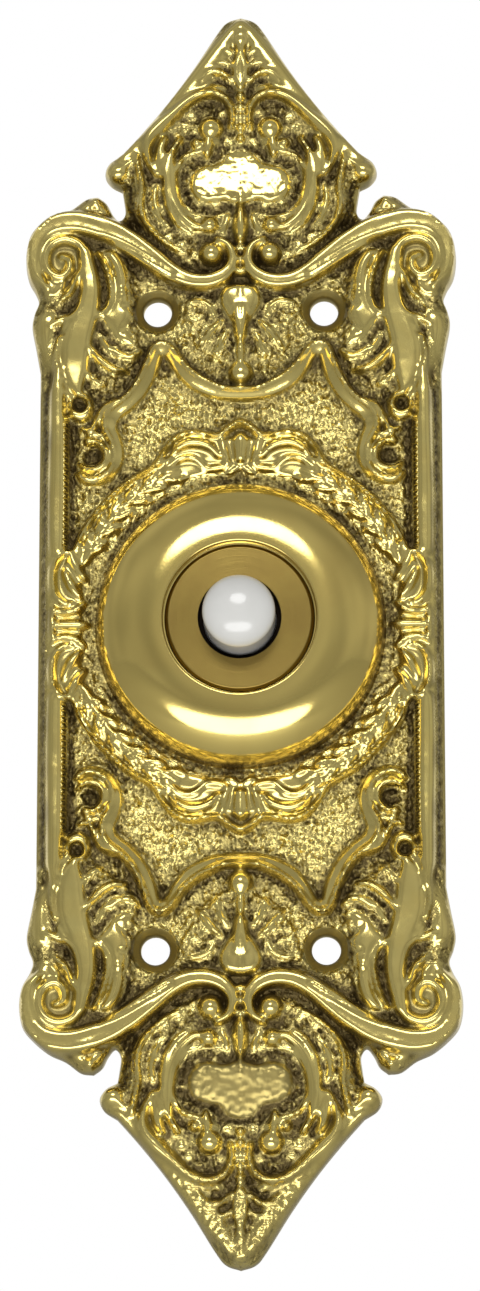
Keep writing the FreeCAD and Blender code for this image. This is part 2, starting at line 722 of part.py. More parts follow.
contact_stud = along_y(
    "Cylinder", "contact_stud",
    {"Radius": "dims.stud_width / 2", "Height": "dims.stud_height"},
    x="dims.fixed_end + dims.stud_inset + dims.stud_width / 2", y="dims.strip_front - dims.stud_height",
)


def terminal_nut(label, height, y, sign):
    """A hexagon nut on a terminal screw."""
    blank = doc.addObject("Part::Prism", label + "_blank")
    blank.Polygon = 6
    blank.setExpression("Circumradius", "dims.terminal_nut / sqrt(3)")
    blank.setExpression("Height", height)
    blank.Placement = FreeCAD.Placement(Vector(), FreeCAD.Rotation(Vector(1, 0, 0), -90))
    blank.setExpression("Placement.Base.x", sign + "dims.terminal_span / 2")
    blank.setExpression("Placement.Base.y", y)
    bore = along_y(
        "Cylinder", label + "_bore",
        {"Radius": "dims.terminal_screw / 2 + dims.terminal_gap", "Height": "2 * " + height},
        x=sign + "dims.terminal_span / 2", y=y + " - 0.5 * " + height,
    )
    return combined("Cut", label, blank, bore)


def terminal(side, sign):
    """One terminal: a slotted screw from inside, a lock nut, a washer and a nut for the wire."""
    x = sign + "dims.terminal_span / 2"
    head = along_y(
        "Cylinder", "terminal_head_" + side,
        {"Radius": "dims.terminal_head / 2", "Height": "dims.terminal_head_height"},
        x=x, y="dims.strip_front - dims.terminal_head_height",
    )
    shank = along_y(
        "Cylinder", "terminal_shank_" + side,
        {
            "Radius": "dims.terminal_screw / 2",
            "Height": "dims.clamp_nut_back + dims.terminal_spare - dims.strip_front",
        },
        x=x, y="dims.strip_front",
    )
    slot = doc.addObject("Part::Box", "terminal_slot_" + side)
    slot.setExpression("Length", "2 * dims.terminal_head")
    slot.setExpression("Width", "dims.terminal_head_height")
    slot.setExpression("Height", "dims.terminal_slot")
    slot.setExpression("Placement.Base.x", x + " - dims.terminal_head")
    slot.setExpression("Placement.Base.y", "dims.strip_front - 1.5 * dims.terminal_head_height")
    slot.setExpression("Placement.Base.z", "-dims.terminal_slot / 2")
    whole = combined("MultiFuse", "terminal_whole_" + side, head, shank)
    screw = combined("Cut", "terminal_screw_" + side, whole, slot)
    lock_nut = terminal_nut("lock_nut_" + side, "dims.lock_nut_height", "dims.base_back", sign)
    disc = along_y(
        "Cylinder", "washer_disc_" + side,
        {"Radius": "dims.terminal_washer / 2", "Height": "dims.terminal_washer_thickness"},
        x=x, y="dims.lock_nut_back",
    )
    bore = along_y(
        "Cylinder", "washer_bore_" + side,
        {
            "Radius": "dims.terminal_screw / 2 + dims.terminal_gap",
            "Height": "3 * dims.terminal_washer_thickness",
        },
        x=x, y="dims.lock_nut_back - dims.terminal_washer_thickness",
    )
    washer = combined("Cut", "terminal_washer_" + side, disc, bore)
    wire_nut = terminal_nut("terminal_nut_" + side, "dims.clamp_nut_height", "dims.clamp_washer_back", sign)
    return [screw, lock_nut, washer, wire_nut]


terminals = terminal("left", "-") + terminal("right", "")

# Behind the plate the bezel is drawn down by a notched ring on a washer.
ring_washer = turned("ring_washer", [
    ("dims.spigot_width / 2 + dims.spigot_gap", "0"),
    ("dims.washer_width / 2", "0"),
    ("dims.washer_width / 2", "dims.washer_thickness"),
    ("dims.spigot_width / 2 + dims.spigot_gap", "dims.washer_thickness"),
])
ring_bore = "dims.spigot_width / 2 + dims.spigot_gap"
ring_edge = ring_bore + " + dims.ring_wall"
ring_blank = turned("ring_blank", [
    (ring_bore, "dims.washer_thickness"),
    (ring_edge, "dims.washer_thickness"),
    (ring_edge, "dims.ring_back"),
    (ring_bore, "dims.ring_back"),
])
notches = []
for number in range(int(value("ring_notches"))):
    notch = doc.addObject("Part::Box", "ring_notch_%d" % number)
    notch.setExpression("Length", "dims.ring_notch")
    notch.setExpression("Width", "2 * dims.ring_height")
    notch.setExpression("Height", "2 * dims.ring_notch_depth")
    turn = FreeCAD.Rotation(Vector(0, 1, 0), 360.0 * number / value("ring_notches"))
    reach = value(ring_edge) - value("ring_notch_depth")
    corner = Vector(-value("ring_notch") / 2, value("washer_thickness") - value("ring_height") / 2, reach)
    notch.Placement = FreeCAD.Placement(turn.multVec(corner), turn)
    notches.append(notch)
ring_cuts = combined("MultiFuse", "ring_cuts", *notches)
ring_nut = combined("Cut", "ring_nut", ring_blank, ring_cuts)

NODES = [
    back_plate, bezel, guide_cap, push_button, contact_base, base_ring, contact_leaf, fixed_contact,
    contact_stud, ring_washer, ring_nut,
] + terminals

doc.recompute()
for thing in doc.Objects:
    if "Invalid" in thing.State or "Error" in thing.State:
        raise RuntimeError(thing.Label + " failed to build")
os.makedirs("parts", exist_ok=True)
for node in NODES:
    shape = node.Shape
    if shape.isNull() or not shape.isValid() or len(shape.Solids) != 1:
        raise RuntimeError(node.Label + " isn't one sound solid")
for node in NODES:
    node.Shape.exportStep("parts/" + node.Label + ".step")
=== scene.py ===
import math

import bpy
import numpy as np
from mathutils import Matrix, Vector, noise
from mathutils.geometry import delaunay_2d_cdt


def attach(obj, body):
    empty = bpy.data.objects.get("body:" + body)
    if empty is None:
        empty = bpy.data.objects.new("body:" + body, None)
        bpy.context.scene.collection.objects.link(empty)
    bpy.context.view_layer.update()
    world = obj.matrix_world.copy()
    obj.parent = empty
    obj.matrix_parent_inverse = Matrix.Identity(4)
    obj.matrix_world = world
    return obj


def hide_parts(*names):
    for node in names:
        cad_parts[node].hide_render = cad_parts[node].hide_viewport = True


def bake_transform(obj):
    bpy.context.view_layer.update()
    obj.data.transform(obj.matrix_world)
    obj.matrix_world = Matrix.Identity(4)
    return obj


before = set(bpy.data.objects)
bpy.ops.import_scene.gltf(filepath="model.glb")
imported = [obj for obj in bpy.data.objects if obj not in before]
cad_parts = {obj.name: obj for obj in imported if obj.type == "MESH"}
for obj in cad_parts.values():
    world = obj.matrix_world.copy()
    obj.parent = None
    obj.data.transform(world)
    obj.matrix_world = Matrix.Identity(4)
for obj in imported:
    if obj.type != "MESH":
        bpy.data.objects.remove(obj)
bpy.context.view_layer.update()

bpy.ops.object.select_all(action="DESELECT")

# Camera: the push is seen square on, from eleven degrees below and about seventy centimetres away.
# The photograph's frame is a little lower than the middle of the plate, hence the small shift.
bpy.context.scene.view_settings.view_transform = "Standard"
PHOTO_WIDE, PHOTO_HIGH = 480, 1291
PHOTO_PITCH = 0.0001605
PLATE_MIDDLE = (241.2, 629.5)
EYE_DISTANCE = 0.700
EYE_RISE, EYE_TURN = math.radians(-11.0), math.radians(1.5)
SENSOR = 36.0
camera_data = bpy.data.cameras.new("camera")
camera_data.sensor_fit = "VERTICAL"
camera_data.sensor_height = SENSOR
camera_data.lens = SENSOR * EYE_DISTANCE / (PHOTO_HIGH * PHOTO_PITCH)
camera_data.shift_x = (PHOTO_WIDE / 2 - PLATE_MIDDLE[0]) / PHOTO_HIGH
camera_data.shift_y = (PLATE_MIDDLE[1] - PHOTO_HIGH / 2) / PHOTO_HIGH
camera = bpy.data.objects.new("camera", camera_data)
bpy.context.collection.objects.link(camera)
sight = Vector((
    math.sin(EYE_TURN) * math.cos(EYE_RISE), -math.cos(EYE_TURN) * math.cos(EYE_RISE), math.sin(EYE_RISE),
))
camera.location = sight * EYE_DISTANCE
camera.rotation_euler = sight.to_track_quat("Z", "Y").to_euler()
bpy.context.scene.camera = camera


# Studio: a wide soft box hangs above the camera and a lower one stands under it, with dim room
# between them, so that polished brass shows olive mid tones between bright crescents.
def soft_box(name, rise, distance, wide, high, radiance, bearing):
    """An oval lamp of an even radiance that faces the push."""
    lamp = bpy.data.lights.new(name, "AREA")
    lamp.shape = "ELLIPSE"
    lamp.size = wide
    lamp.size_y = high
    lamp.energy = radiance * math.pi * math.pi / 4 * wide * high
    holder = bpy.data.objects.new(name, lamp)
    bpy.context.collection.objects.link(holder)
    turn, tilt = math.radians(bearing), math.radians(rise)
    away = Vector((math.sin(turn) * math.cos(tilt), -math.cos(turn) * math.cos(tilt), math.sin(tilt)))
    holder.location = away * distance
    holder.rotation_euler = away.to_track_quat("Z", "Y").to_euler()
    holder.visible_camera = False


soft_box("upper_soft_box", rise=28.5, distance=1.60, wide=0.84, high=0.60, radiance=4.9, bearing=-2.0)
soft_box("lower_soft_box", rise=-33.0, distance=0.60, wide=0.68, high=0.31, radiance=3.7, bearing=-2.0)


class Wire:
    """One output of a node. The usual operators add Math nodes to its tree."""

    def __init__(self, tree, socket):
        self.tree = tree
        self.socket = socket

    def maths(self, operation, *values):
        node = self.tree.nodes.new("ShaderNodeMath")
        node.operation = operation
        for number, value in enumerate(values):
            if isinstance(value, Wire):
                self.tree.links.new(value.socket, node.inputs[number])
            else:
                node.inputs[number].default_value = value
        return Wire(self.tree, node.outputs[0])

    def __add__(self, other):
        return self.maths("ADD", self, other)

    def __radd__(self, other):
        return self.maths("ADD", other, self)

    def __sub__(self, other):
        return self.maths("SUBTRACT", self, other)

    def __rsub__(self, other):
        return self.maths("SUBTRACT", other, self)

    def __mul__(self, other):
        return self.maths("MULTIPLY", self, other)

    def __rmul__(self, other):
        return self.maths("MULTIPLY", other, self)

    def __pow__(self, other):
        return self.maths("POWER", self, other)

    def held(self):
        """The value kept between 0 and 1."""
        return self.maths("MINIMUM", self.maths("MAXIMUM", self, 0.0), 1.0)

    def other(self, name):
        """Another output of the same node."""
        return Wire(self.tree, self.socket.node.outputs[name])


class Finish:
    """A node tree that is filled with one call a node."""

    def __init__(self, tree):
        self.tree = tree
        tree.nodes.clear()

    def add(self, kind, settings=(), outlet=0, **sockets):
        """Adds a node: its settings first, then its sockets by name, or by number as n0, n1 and so on."""
        node = self.tree.nodes.new(kind)
        for name, setting in dict(settings).items():
            if name == "stops":
                ramp = node.color_ramp
                while len(ramp.elements) < len(setting):
                    ramp.elements.new(0.5)
                for element, (place, colour) in zip(ramp.elements, setting):
                    element.position = place
                    element.color = (*colour, 1.0)
            else:
                setattr(node, name, setting)
        for name, value in sockets.items():
            key = int(name[1:]) if name[0] == "n" and name[1:].isdigit() else name.replace("_", " ")
            if isinstance(value, Wire):
                self.tree.links.new(value.socket, node.inputs[key])
            else:
                node.inputs[key].default_value = value
        return Wire(self.tree, node.outputs[outlet]) if node.outputs else node

    def blend(self, share, first, second):
        """A colour between two colours or wires, by a share from 0 to 1."""
        colours = [c if isinstance(c, Wire) else (*c, 1.0) for c in (first, second)]
        return self.add("ShaderNodeMix", {"data_type": "RGBA"}, 2, n0=share, n6=colours[0], n7=colours[1])

    def clouds(self, place, scale, detail, **sockets):
        """A noise of values round one half."""
        return self.add(
            "ShaderNodeTexNoise", outlet="Fac", Vector=place, Scale=scale, Detail=detail, **sockets,
        )

    def from_axis(self, place):
        """How far a place lies from the push's axis."""
        side = self.add("ShaderNodeSeparateXYZ", n0=place)
        up = side.other("Z")
        return (side * side + up * up) ** 0.5

    def surface(self, bump=None, **sockets):
        """The shader and its output. A bump is given as (strength, distance, height)."""
        if bump:
            strength, distance, height = bump
            sockets["Normal"] = self.add(
                "ShaderNodeBump", Strength=strength, Distance=distance, Height=height,
            )
        shader = self.add("ShaderNodeBsdfPrincipled", **sockets)
        self.add("ShaderNodeOutputMaterial", n0=shader)


def new_finish(name):
    """A new material, the finish that fills it, and the place on the piece."""
    material = bpy.data.materials.new(name)
    material.use_nodes = True
    finish = Finish(material.node_tree)
    return material, finish, finish.add("ShaderNodeTexCoord", outlet="Object")


ROOM_DIM, ROOM_LIT = (0.28, 0.28, 0.27), (0.50, 0.50, 0.49)
WALL = (1.0, 1.0, 1.0)
world = bpy.data.worlds.new("studio")
bpy.context.scene.world = world
world.use_nodes = True
studio = Finish(world.node_tree)
heading = studio.add("ShaderNodeTexCoord", outlet="Generated")
toward_wall = studio.add("ShaderNodeSeparateXYZ", outlet="Y", n0=heading)
paths = studio.add("ShaderNodeLightPath", outlet="Is Camera Ray")
in_reflections = paths.other("Is Glossy Ray") + paths.other("Is Transmission Ray")
patches = studio.clouds(heading, 1.7, 1.0)
room = studio.blend((patches * 2.0 - 0.5).held(), ROOM_DIM, ROOM_LIT)
behind = (toward_wall * 8.0 - 4.8).held() * in_reflections.held()
room = studio.blend((paths + behind).held(), room, WALL)
backdrop = studio.add("ShaderNodeBackground", Color=room)
studio.add("ShaderNodeOutputWorld", Surface=backdrop)

# Table: a plain pale table top well below the push, out of the photograph's view.
TABLE_LEVEL = -0.42
bpy.ops.mesh.primitive_grid_add(x_subdivisions=2, y_subdivisions=2, size=6.0, location=(0, 0, TABLE_LEVEL))
table = bpy.context.object
table.name = "table"
bpy.ops.object.transform_apply(location=True, rotation=True, scale=True)
table_paint, coat, place = new_finish("table_paint")
coat.surface(Base_Color=(0.80, 0.80, 0.79, 1.0), Roughness=0.7)
table.data.materials.append(table_paint)

# The same dark brown is also painted as shade on steep flanks, in the lower half and round the bezel's seat.
# Back plate: one sand casting in yellow brass, 204 x 70 mm, with a stippled ground and raised scrolls,
# leaves and a laurel ring. The tops are polished bright; a dark brown patina stays in the hollows.
# The relief is carved as heights over a fine net of points, which operators can't shape.
MM = 0.001
GROUND = 3.2
CLOSE_PITCH, WIDE_PITCH = 0.325, 0.46
CLOSE_BEND = 0.035
SCREW_X, SCREW_Z = 13.5, 52.0
SCREW_HOLE, SCREW_SINK = 2.3, 3.5
SPIGOT_BORE = 14.6
BEZEL_SEAT = 23.5
EDGE_ROLL = 0.6
EDGE_LOW = 1.3
PLATE_TOP, PLATE_HALF = 102.0, 36.0
WAIST, WAIST_TOP, WAIST_STEPS = 32.5, 42.0, 117


def smooth_line(points, step=0.25):
    """Points at even steps on a smooth curve through a few points."""
    points = np.array(points, float)
    if len(points) < 3:
        return points
    ends = np.vstack([2 * points[0] - points[1], points, 2 * points[-1] - points[-2]])
    line = []
    for before, here, there, after in zip(ends, ends[1:], ends[2:], ends[3:]):
        count = max(2, int(np.hypot(*(there - here)) / step))
        t = np.linspace(0, 1, count, endpoint=False)[:, None]
        line.append(0.5 * (
            2 * here + (there - before) * t + (2 * before - 5 * here + 4 * there - after) * t ** 2
            + (3 * here - before - 3 * there + after) * t ** 3
        ))
    return np.vstack(line + [points[-1:]])


def ring_points(x, z, radius, count):
    turns = np.arange(count) * 2 * np.pi / count
    return np.column_stack([x + radius * np.cos(turns), z + radius * np.sin(turns)])


EDGE = [
    [(0, 102), (2.3, 101.2), (4, 99.2), (8, 92.9), (12, 87.3), (16, 82.4), (19.4, 78.6)],
    [(19.4, 78.6), (21.5, 77.2), (22.2, 75.4), (21.2, 73.8), (19.4, 72.8)],
    [(19.4, 72.8), (19.1, 71.0), (18.9, 68.8), (19.8, 67.5), (20.9, 68.7), (21.8, 70.4), (23.2, 71.5)],
    [(23.2, 71.5), (25.2, 71.2), (27.6, 69.5), (30.2, 68.3), (32.6, 66.4), (34.4, 64.2), (35, 61),
     (34.6, 57.8), (33.4, 55.5), (32.9, 53.8), (33.6, 51.8), (33.9, 49.6), (33.2, 45.8), (32.5, 42)],
]
straight = np.column_stack([np.full(WAIST_STEPS, WAIST), np.linspace(WAIST_TOP, 0.0, WAIST_STEPS)])
rim = np.vstack([smooth_line(part, 0.35)[:-1] for part in EDGE] + [straight])


def to_line(places, line):
    """Distance from places to a line, the side it lies on, and how far along it that is."""
    best = np.full(len(places), 1e9)
    side = np.zeros(len(places))
    along = np.zeros(len(places))
    for number, (start, end) in enumerate(zip(line, line[1:])):
        run = end - start
        length = float(run @ run)
        if length < 1e-12:
            continue
        away = places - start
        share = unit(away @ run / length)
        gap = np.hypot(*(away - share[:, None] * run).T)
        near = gap < best
        best[near] = gap[near]
        side[near] = np.sign(run[0] * away[near, 1] - run[1] * away[near, 0])
        along[near] = number + share[near]
    return best, side, along


def inside(places, loop):
    """True for places inside a closed loop."""
    hits = np.zeros(len(places), bool)
    for start, end in zip(loop, np.roll(loop, -1, axis=0)):
        if start[1] == end[1]:
            continue
        crosses = (start[1] > places[:, 1]) != (end[1] > places[:, 1])
        reach = start[0] + (places[:, 1] - start[1]) * (end[0] - start[0]) / (end[1] - start[1])
        hits ^= crosses & (places[:, 0] < reach)
    return hits


RASTER, RASTER_COUNTS = 0.12, (301, 860)
raster_x, raster_z = np.meshgrid(*(np.arange(count) * RASTER for count in RASTER_COUNTS))
plan = np.column_stack([raster_x.ravel(), raster_z.ravel()])


def unit(values):
    """Values kept between 0 and 1."""
    return np.clip(values, 0, 1)


def shoulder(share):
    """A soft step from 0 to 1."""
    share = unit(share)
    return share * share * (3 - 2 * share)


def moulding(u):
    """A slope that climbs across a strand to a bead, and falls off steeply behind it."""
    slope = unit((u + 1) / 0.22) * (0.50 + 0.22 * (u + 1))
    over = (u - 0.66) / 0.34
    bead = 0.42 * unit(1 - over ** 2) ** 0.6 - 0.72 * unit(over) ** 3
    return np.where(u < 0.42, slope, 0.72) + np.where(u >= 0.30, bead, 0)


# A strand's height across its width, from -1 at one edge to 1 at the other.
SECTIONS = {
    "round": lambda u: unit(1 - u ** 2) ** 0.8,
    "swell": lambda u: unit(1 - np.abs(u) ** 2.4) ** 0.9,
    "ridge": lambda u: unit(1 - np.abs(u) ** 1.5),
    "flat": lambda u: shoulder((1 - np.abs(u)) / 0.5),
    "scroll": lambda u: (
        shoulder((1 - np.abs(u)) / 0.42) * (0.97 + 0.03 * unit(np.abs(u) / 0.6) ** 2)
    ),
    "moulding": moulding,
    "leaf": lambda u: unit(1 - np.abs(u) ** 1.8) ** 0.8 - 0.16 * np.exp(-(u / 0.18) ** 2),
}
bed = np.full(len(plan), GROUND)
relief = np.full(len(plan), GROUND)
crinkled = np.zeros(len(plan))
LEAN, LEAN_REACH = 0.048, 6.0
VALLEY = 0.10
ROOT = 0.2


def lay(where, heights):
    """Joins new heights to the relief with a soft valley between them."""
    old = relief[where]
    relief[where] = 0.5 * (old + heights + np.sqrt((old - heights) ** 2 + VALLEY ** 2)) - VALLEY / 2


def near_points(line, reach):
    """The raster's points in a box round a line."""
    low, high = line.min(axis=0) - reach, line.max(axis=0) + reach
    return np.where(((plan > low) & (plan < high)).all(axis=1))[0]


def strand(path, halves, top, section="round"):
    """A raised strand of a given cross section that swells and tapers along its path, and leans out
    a little towards its foot."""
    path = np.array(path, float)
    line = smooth_line(path)
    where = near_points(line, max(halves))
    gap, side, along = to_line(plan[where], line)
    marks = [int(np.argmin(np.hypot(*(line - p).T))) for p in path]
    u = gap * side / np.interp(along, marks, halves)
    held = np.abs(u) < 1
    low = bed[where] - ROOT
    over = np.clip(plan[where, 1] - line[:, 1].mean(), -LEAN_REACH, LEAN_REACH)
    heights = low + (top + LEAN * over - low) * SECTIONS[section](u)
    lay(where[held], heights[held])


def enclosed(outline):
    """The raster's points inside a smooth closed outline, and how far each lies from it."""
    loop = smooth_line(outline + outline[:1])
    where = near_points(loop, 0.0)
    where = where[inside(plan[where], loop)]
    return where, to_line(plan[where], loop)[0]


def raised_bed(outline, level):
    """Lifts the stippled ground itself inside an outline."""
    where, gap = enclosed(outline)
    lifted = GROUND + (level - GROUND) * shoulder(gap / 0.8)
    bed[where] = np.maximum(bed[where], lifted)
    relief[where] = np.maximum(relief[where], lifted)


def lobe(outline, top, edge, lean=LEAN):
    """A broad smooth form with a soft shoulder all round, given by its outline."""
    where, gap = enclosed(outline)
    low = bed[where] - ROOT
    top = top + lean * (plan[where, 1] - plan[where, 1].mean())
    crown = 0.88 * shoulder(0.15 + 0.85 * gap / edge) + 0.12 * unit(gap / edge / 2)
    lay(where, low + (top - low) * crown)
    return where


def disc(x, z, radius, spare=1.0):
    """The raster's points round a middle, and how far out each lies, as a share of the radius."""
    where = near_points(np.array([[x, z]]), radius * spare)
    return where, np.hypot(plan[where, 0] - x, plan[where, 1] - z) / radius


def dome(x, z, radius, top, fullness=0.6):
    """A round boss."""
    where, reach = disc(x, z, radius)
    where, reach = where[reach < 1], reach[reach < 1]
    low = bed[where] - ROOT
    lay(where, low + (top - low) * (1 - reach ** 2) ** fullness)


def hollow(x, z, radius, bottom):
    """A round dimple with soft sides."""
    where, reach = disc(x, z, radius, 1.3)
    share = unit(1.25 - reach ** 2)
    relief[where] = relief[where] * (1 - share) + np.minimum(relief[where], bottom) * share


def groove(path, half, depth):
    """A soft furrow along a path."""
    line = smooth_line(path)
    where = near_points(line, half)
    gap = to_line(plan[where], line)[0] / half
    relief[where] -= depth * shoulder(1 - gap)


def leaf(x, z, length, wide, turn, top, bow=0.12):
    """A small pointed leaf with a sunk midrib, given by its middle, size and direction."""
    turn = math.radians(turn)
    run = np.array([math.cos(turn), math.sin(turn)]) * length / 2
    over = np.array([-run[1], run[0]]) * bow
    middle = np.array([x, z])
    path = [middle - run, middle - run * 0.4 + over, middle + run * 0.3 + over, middle + run]
    strand(path, [wide * 0.22, wide * 0.5, wide * 0.44, wide * 0.12], top, "leaf")


def arc(x, z, radius, start, end, halves, top, section="round"):
    """A strand along part of a circle, from a start to an end in degrees."""
    turns = np.radians(np.linspace(start, end, max(4, int((end - start) / 25))))
    path = np.column_stack([x + radius * np.cos(turns), z + radius * np.sin(turns)])
    halves = np.interp(np.linspace(0, 1, len(path)), np.linspace(0, 1, len(halves)), halves)
    strand(path, halves, top, section)


# Beds: under the crest, the corner leaves and the fan the stippled ground lies higher.
raised_bed([(-4, 99.4), (0, 99.4), (2.2, 97.8), (5, 93.6), (8.2, 88.8), (11.8, 84.2), (15, 80.8),
    (17.4, 78.2), (19.6, 76.6), (20.4, 74.9), (18.4, 73.8), (17.6, 71), (17, 68.4), (15.6, 66), (13, 63.2),
    (10, 60.8), (6.6, 59.4), (3.4, 60.2), (1.8, 62.4), (0, 62.8), (-4, 62.8)], 3.8)
raised_bed([(19.5, 62.5), (24.5, 65), (29, 65.6), (32.6, 63.4), (33.8, 60), (32.4, 55.5), (32, 53.5),
    (32.8, 50.5), (32.4, 46), (31, 42.5), (29.4, 39.4), (27.6, 37.6), (24.6, 37.4), (21.6, 39.2),
    (17.6, 42), (15.9, 44.6), (16.4, 48), (16.8, 53), (17.2, 58)], 4.1)
raised_bed([(-4, 56.5), (0, 56.5), (4.5, 56), (8.8, 53.8), (9.4, 51), (7.4, 46.4), (4, 43.6), (1.4, 42.4),
    (-4, 42.4)], 3.9)
# The laurel ring: a band of overlapping leaves between two beads.
arc(0, 0, 27.1, -2, 92, [2.1, 2.1], 3.9, "flat")
for k in range(6):
    angle = 25.8 + 7.5 * k
    for reach, lean, shift, length, wide in (
        (25.8, 104.0, 3.6, 3.3, 1.5), (28.2, 76.0, 3.6, 3.3, 1.4), (27.0, 90.0, 0.0, 4.7, 2.2),
    ):
        turn = math.radians(angle + shift)
        leaf(reach * math.cos(turn), reach * math.sin(turn), length, wide, angle + shift + lean, 5.3, 0.06)
arc(0, 0, 29.5, 20, 66, [0.4, 0.6, 0.6, 0.4], 5.5)
arc(0, 0, 24.7, 24, 68, [0.3, 0.45, 0.45, 0.3], 4.4)
# The clasp at the ring's side and the one at its top.
strand([(26.8, -1), (27.2, 4), (27, 9), (26, 12.6)], [2.5, 2.6, 2.4, 1], 4.6, "flat")
strand([(27.2, 12), (28.8, 11.3), (29.9, 9.4), (30.1, 7), (29.6, 4.9), (28.2, 3.5), (26.6, 3.4)], [0.4, 0.9,
    1.1, 1.15, 1, 0.7, 0.4], 6, "ridge")
strand([(24.8, 7.4), (26.4, 9.6), (27.4, 12)], [0.5, 1.1, 0.4], 5.7, "swell")
strand([(25.6, 4.4), (27, 6.2), (28.2, 8.8)], [0.5, 1.2, 0.4], 5.6, "swell")
strand([(24.8, 3.6), (26.2, 2.4), (28.2, 2), (29.8, 2.4)], [0.4, 0.8, 0.8, 0.4], 5.6, "swell")
strand([(24.6, 0), (26.4, 0), (28.8, 0), (30.2, 0)], [0.7, 1.3, 1, 0.4], 5.5, "swell")
strand([(-1, 28.8), (4, 28.6), (9, 27.8), (12.8, 25.8)], [3.2, 2.6, 2, 1], 4.5, "flat")
strand([(-1.8, 32.2), (0, 33.1), (1.8, 32.2), (3.2, 31.1), (5, 31), (7.6, 31.4), (9.6, 31), (11.2, 29.8),
    (12.4, 28.2), (13.4, 26.6), (14.4, 25.6)], [0.9, 1, 0.9, 0.8, 0.8, 0.8, 0.8, 0.7, 0.65, 0.6, 0.45], 5.7,
    "ridge")
strand([(3.4, 27.4), (5, 29), (7.4, 29.7), (9.4, 29.2), (11, 27.8)], [0.4, 1.1, 1.3, 1, 0.4], 5.7, "swell")
strand([(5.6, 25.8), (7.6, 27.2), (9.8, 27.1), (12.2, 25.6)], [0.4, 0.8, 0.8, 0.4], 5.3, "ridge")
lobe([(-4, 31.6), (0, 32), (1.6, 30.6), (1.5, 28), (0.8, 26), (-4, 26)], 5.5, 1)
strand([(2, 26.2), (2.6, 28.2), (3, 30.4)], [0.5, 0.95, 0.4], 5.4, "swell")
leaf(3.6, 25.9, 3.8, 1.6, 170, 5.1)
leaf(1.2, 25.3, 2.6, 1.4, 150, 5)
# The moulding that arches over the ring, dips round the screw and curls into a cup.
strand([(-2, 37.8), (0, 37.8), (3, 38), (5.5, 38.9), (7.9, 40.3), (9.7, 42.2), (11, 44.2), (12.2, 45.4),
    (13.4, 45.3), (14, 43.7), (14.9, 41.2), (16.3, 38.5), (18.3, 36.3), (20.4, 34.6), (21.1, 32.6),
    (20.3, 30.6), (19.7, 28.6), (19.8, 26.6), (20.9, 24.7), (22.9, 23.5), (25, 23.6), (26.3, 24.8)], [1.35,
    1.35, 1.35, 1.5, 1.55, 1.35, 1.2, 1.2, 1.2, 1.35, 1.5, 1.5, 1.5, 1.55, 1.45, 1.3, 1.2, 1.1, 1, 0.9, 0.8,
    0.5], 5.8, "moulding")
strand([(20, 36.9), (21.8, 35.9), (22.8, 34.4), (23.4, 32.8), (24.6, 31.8), (25.6, 32.2)], [0.5, 0.65, 0.65,
    0.6, 0.5, 0.4], 5.6)
arc(23.9, 27.7, 2.35, 70, 330, [0.4, 0.8, 1, 0.9, 0.4], 5.5)
hollow(23.9, 27.8, 1.5, 2.6)
dome(24.5, 30.1, 1, 5.4)
strand([(22.2, 30.6), (23.2, 31.4), (24.4, 30.9)], [0.4, 0.6, 0.4], 5)
arc(25.9, 36.1, 1.6, 60, 400, [0.4, 0.75, 0.85, 0.75, 0.4], 5.5)
hollow(25.9, 36.1, 0.8, 2.8)
strand([(24.2, 34.4), (25.6, 33.7), (27.4, 34.2)], [0.4, 0.6, 0.4], 5.2)
strand([(27.3, 37), (28.4, 38.6), (29.2, 40.6)], [0.5, 0.9, 0.5], 5.5, "swell")
# The long rail, its inner step and its row of small beads.
strand([(29.5, 42.5), (29.55, 20), (29.55, -3)], [1.4, 2.1, 2.1], 4.7, "flat")
strand([(29.3, 42), (29.5, 39), (29.5, 36), (29.5, 14), (29.4, 11.4)], [0.6, 1.3, 1.6, 1.6, 0.8], 5.9,
    "scroll")
strand([(29.9, 2.8), (30.1, 0.6), (30.1, -3)], [0.4, 0.6, 0.6], 5.7, "swell")
strand([(28.1, 34), (28.1, 12.4)], [0.45, 0.45], 5.2)
groove([(26.8, 33), (26.8, 13.5)], 0.55, 0.6)
# The corner acanthus: a broad trunk, a furrow, an inner leaf with a bright edge, and curled tips.
lobe([(20.4, 62.4), (18.6, 60.2), (17.7, 56.9), (17.6, 53.8), (17.1, 51.2), (17.5, 48.6), (16.4, 46.4),
    (17.8, 45.4), (19.8, 46), (21.4, 48), (23.2, 50.6), (21.6, 52.6), (20.9, 55.4), (21.3, 58.4),
    (22.8, 62)], 5.6, 1.3)
strand([(23.2, 61.6), (21.9, 59.2), (21.1, 56.6), (20.9, 54.2), (21.6, 52.2), (23.2, 50.4)], [0.4, 0.6,
    0.65, 0.65, 0.55, 0.35], 6.2)
dome(19.2, 54.8, 1.1, 6)
groove([(17.2, 52.6), (18.8, 52.4)], 0.5, 0.7)
groove([(17, 49.8), (18.4, 49.2), (19.2, 48.2)], 0.5, 0.7)
groove([(17.8, 56.6), (18.6, 55.8)], 0.4, 0.5)
strand([(25.2, 61.4), (24.6, 58), (24.3, 55.4), (24.6, 52.6), (25.3, 50.2), (26.2, 47.6), (26.7, 45),
    (26.8, 42.2), (26.6, 39.6), (26, 37.6)], [1.5, 1.9, 2.1, 2.4, 2.8, 3.2, 3.3, 3, 2, 0.6], 5.9, "flat")
strand([(29.2, 47.4), (29.8, 44.8), (29.6, 42.4), (28.5, 40)], [0.35, 0.6, 0.6, 0.35], 6.2)
lobe([(26.6, 58.6), (28.6, 57.6), (31, 57.6), (32.4, 55.4), (31.8, 53.6), (30.2, 53.4), (29.2, 54.4),
    (28.2, 55.6)], 5.1, 1.2)
strand([(25.8, 58.8), (26.8, 56.6), (27.8, 54.6), (29.6, 52.9)], [0.4, 0.9, 1.05, 0.4], 6.1, "ridge")
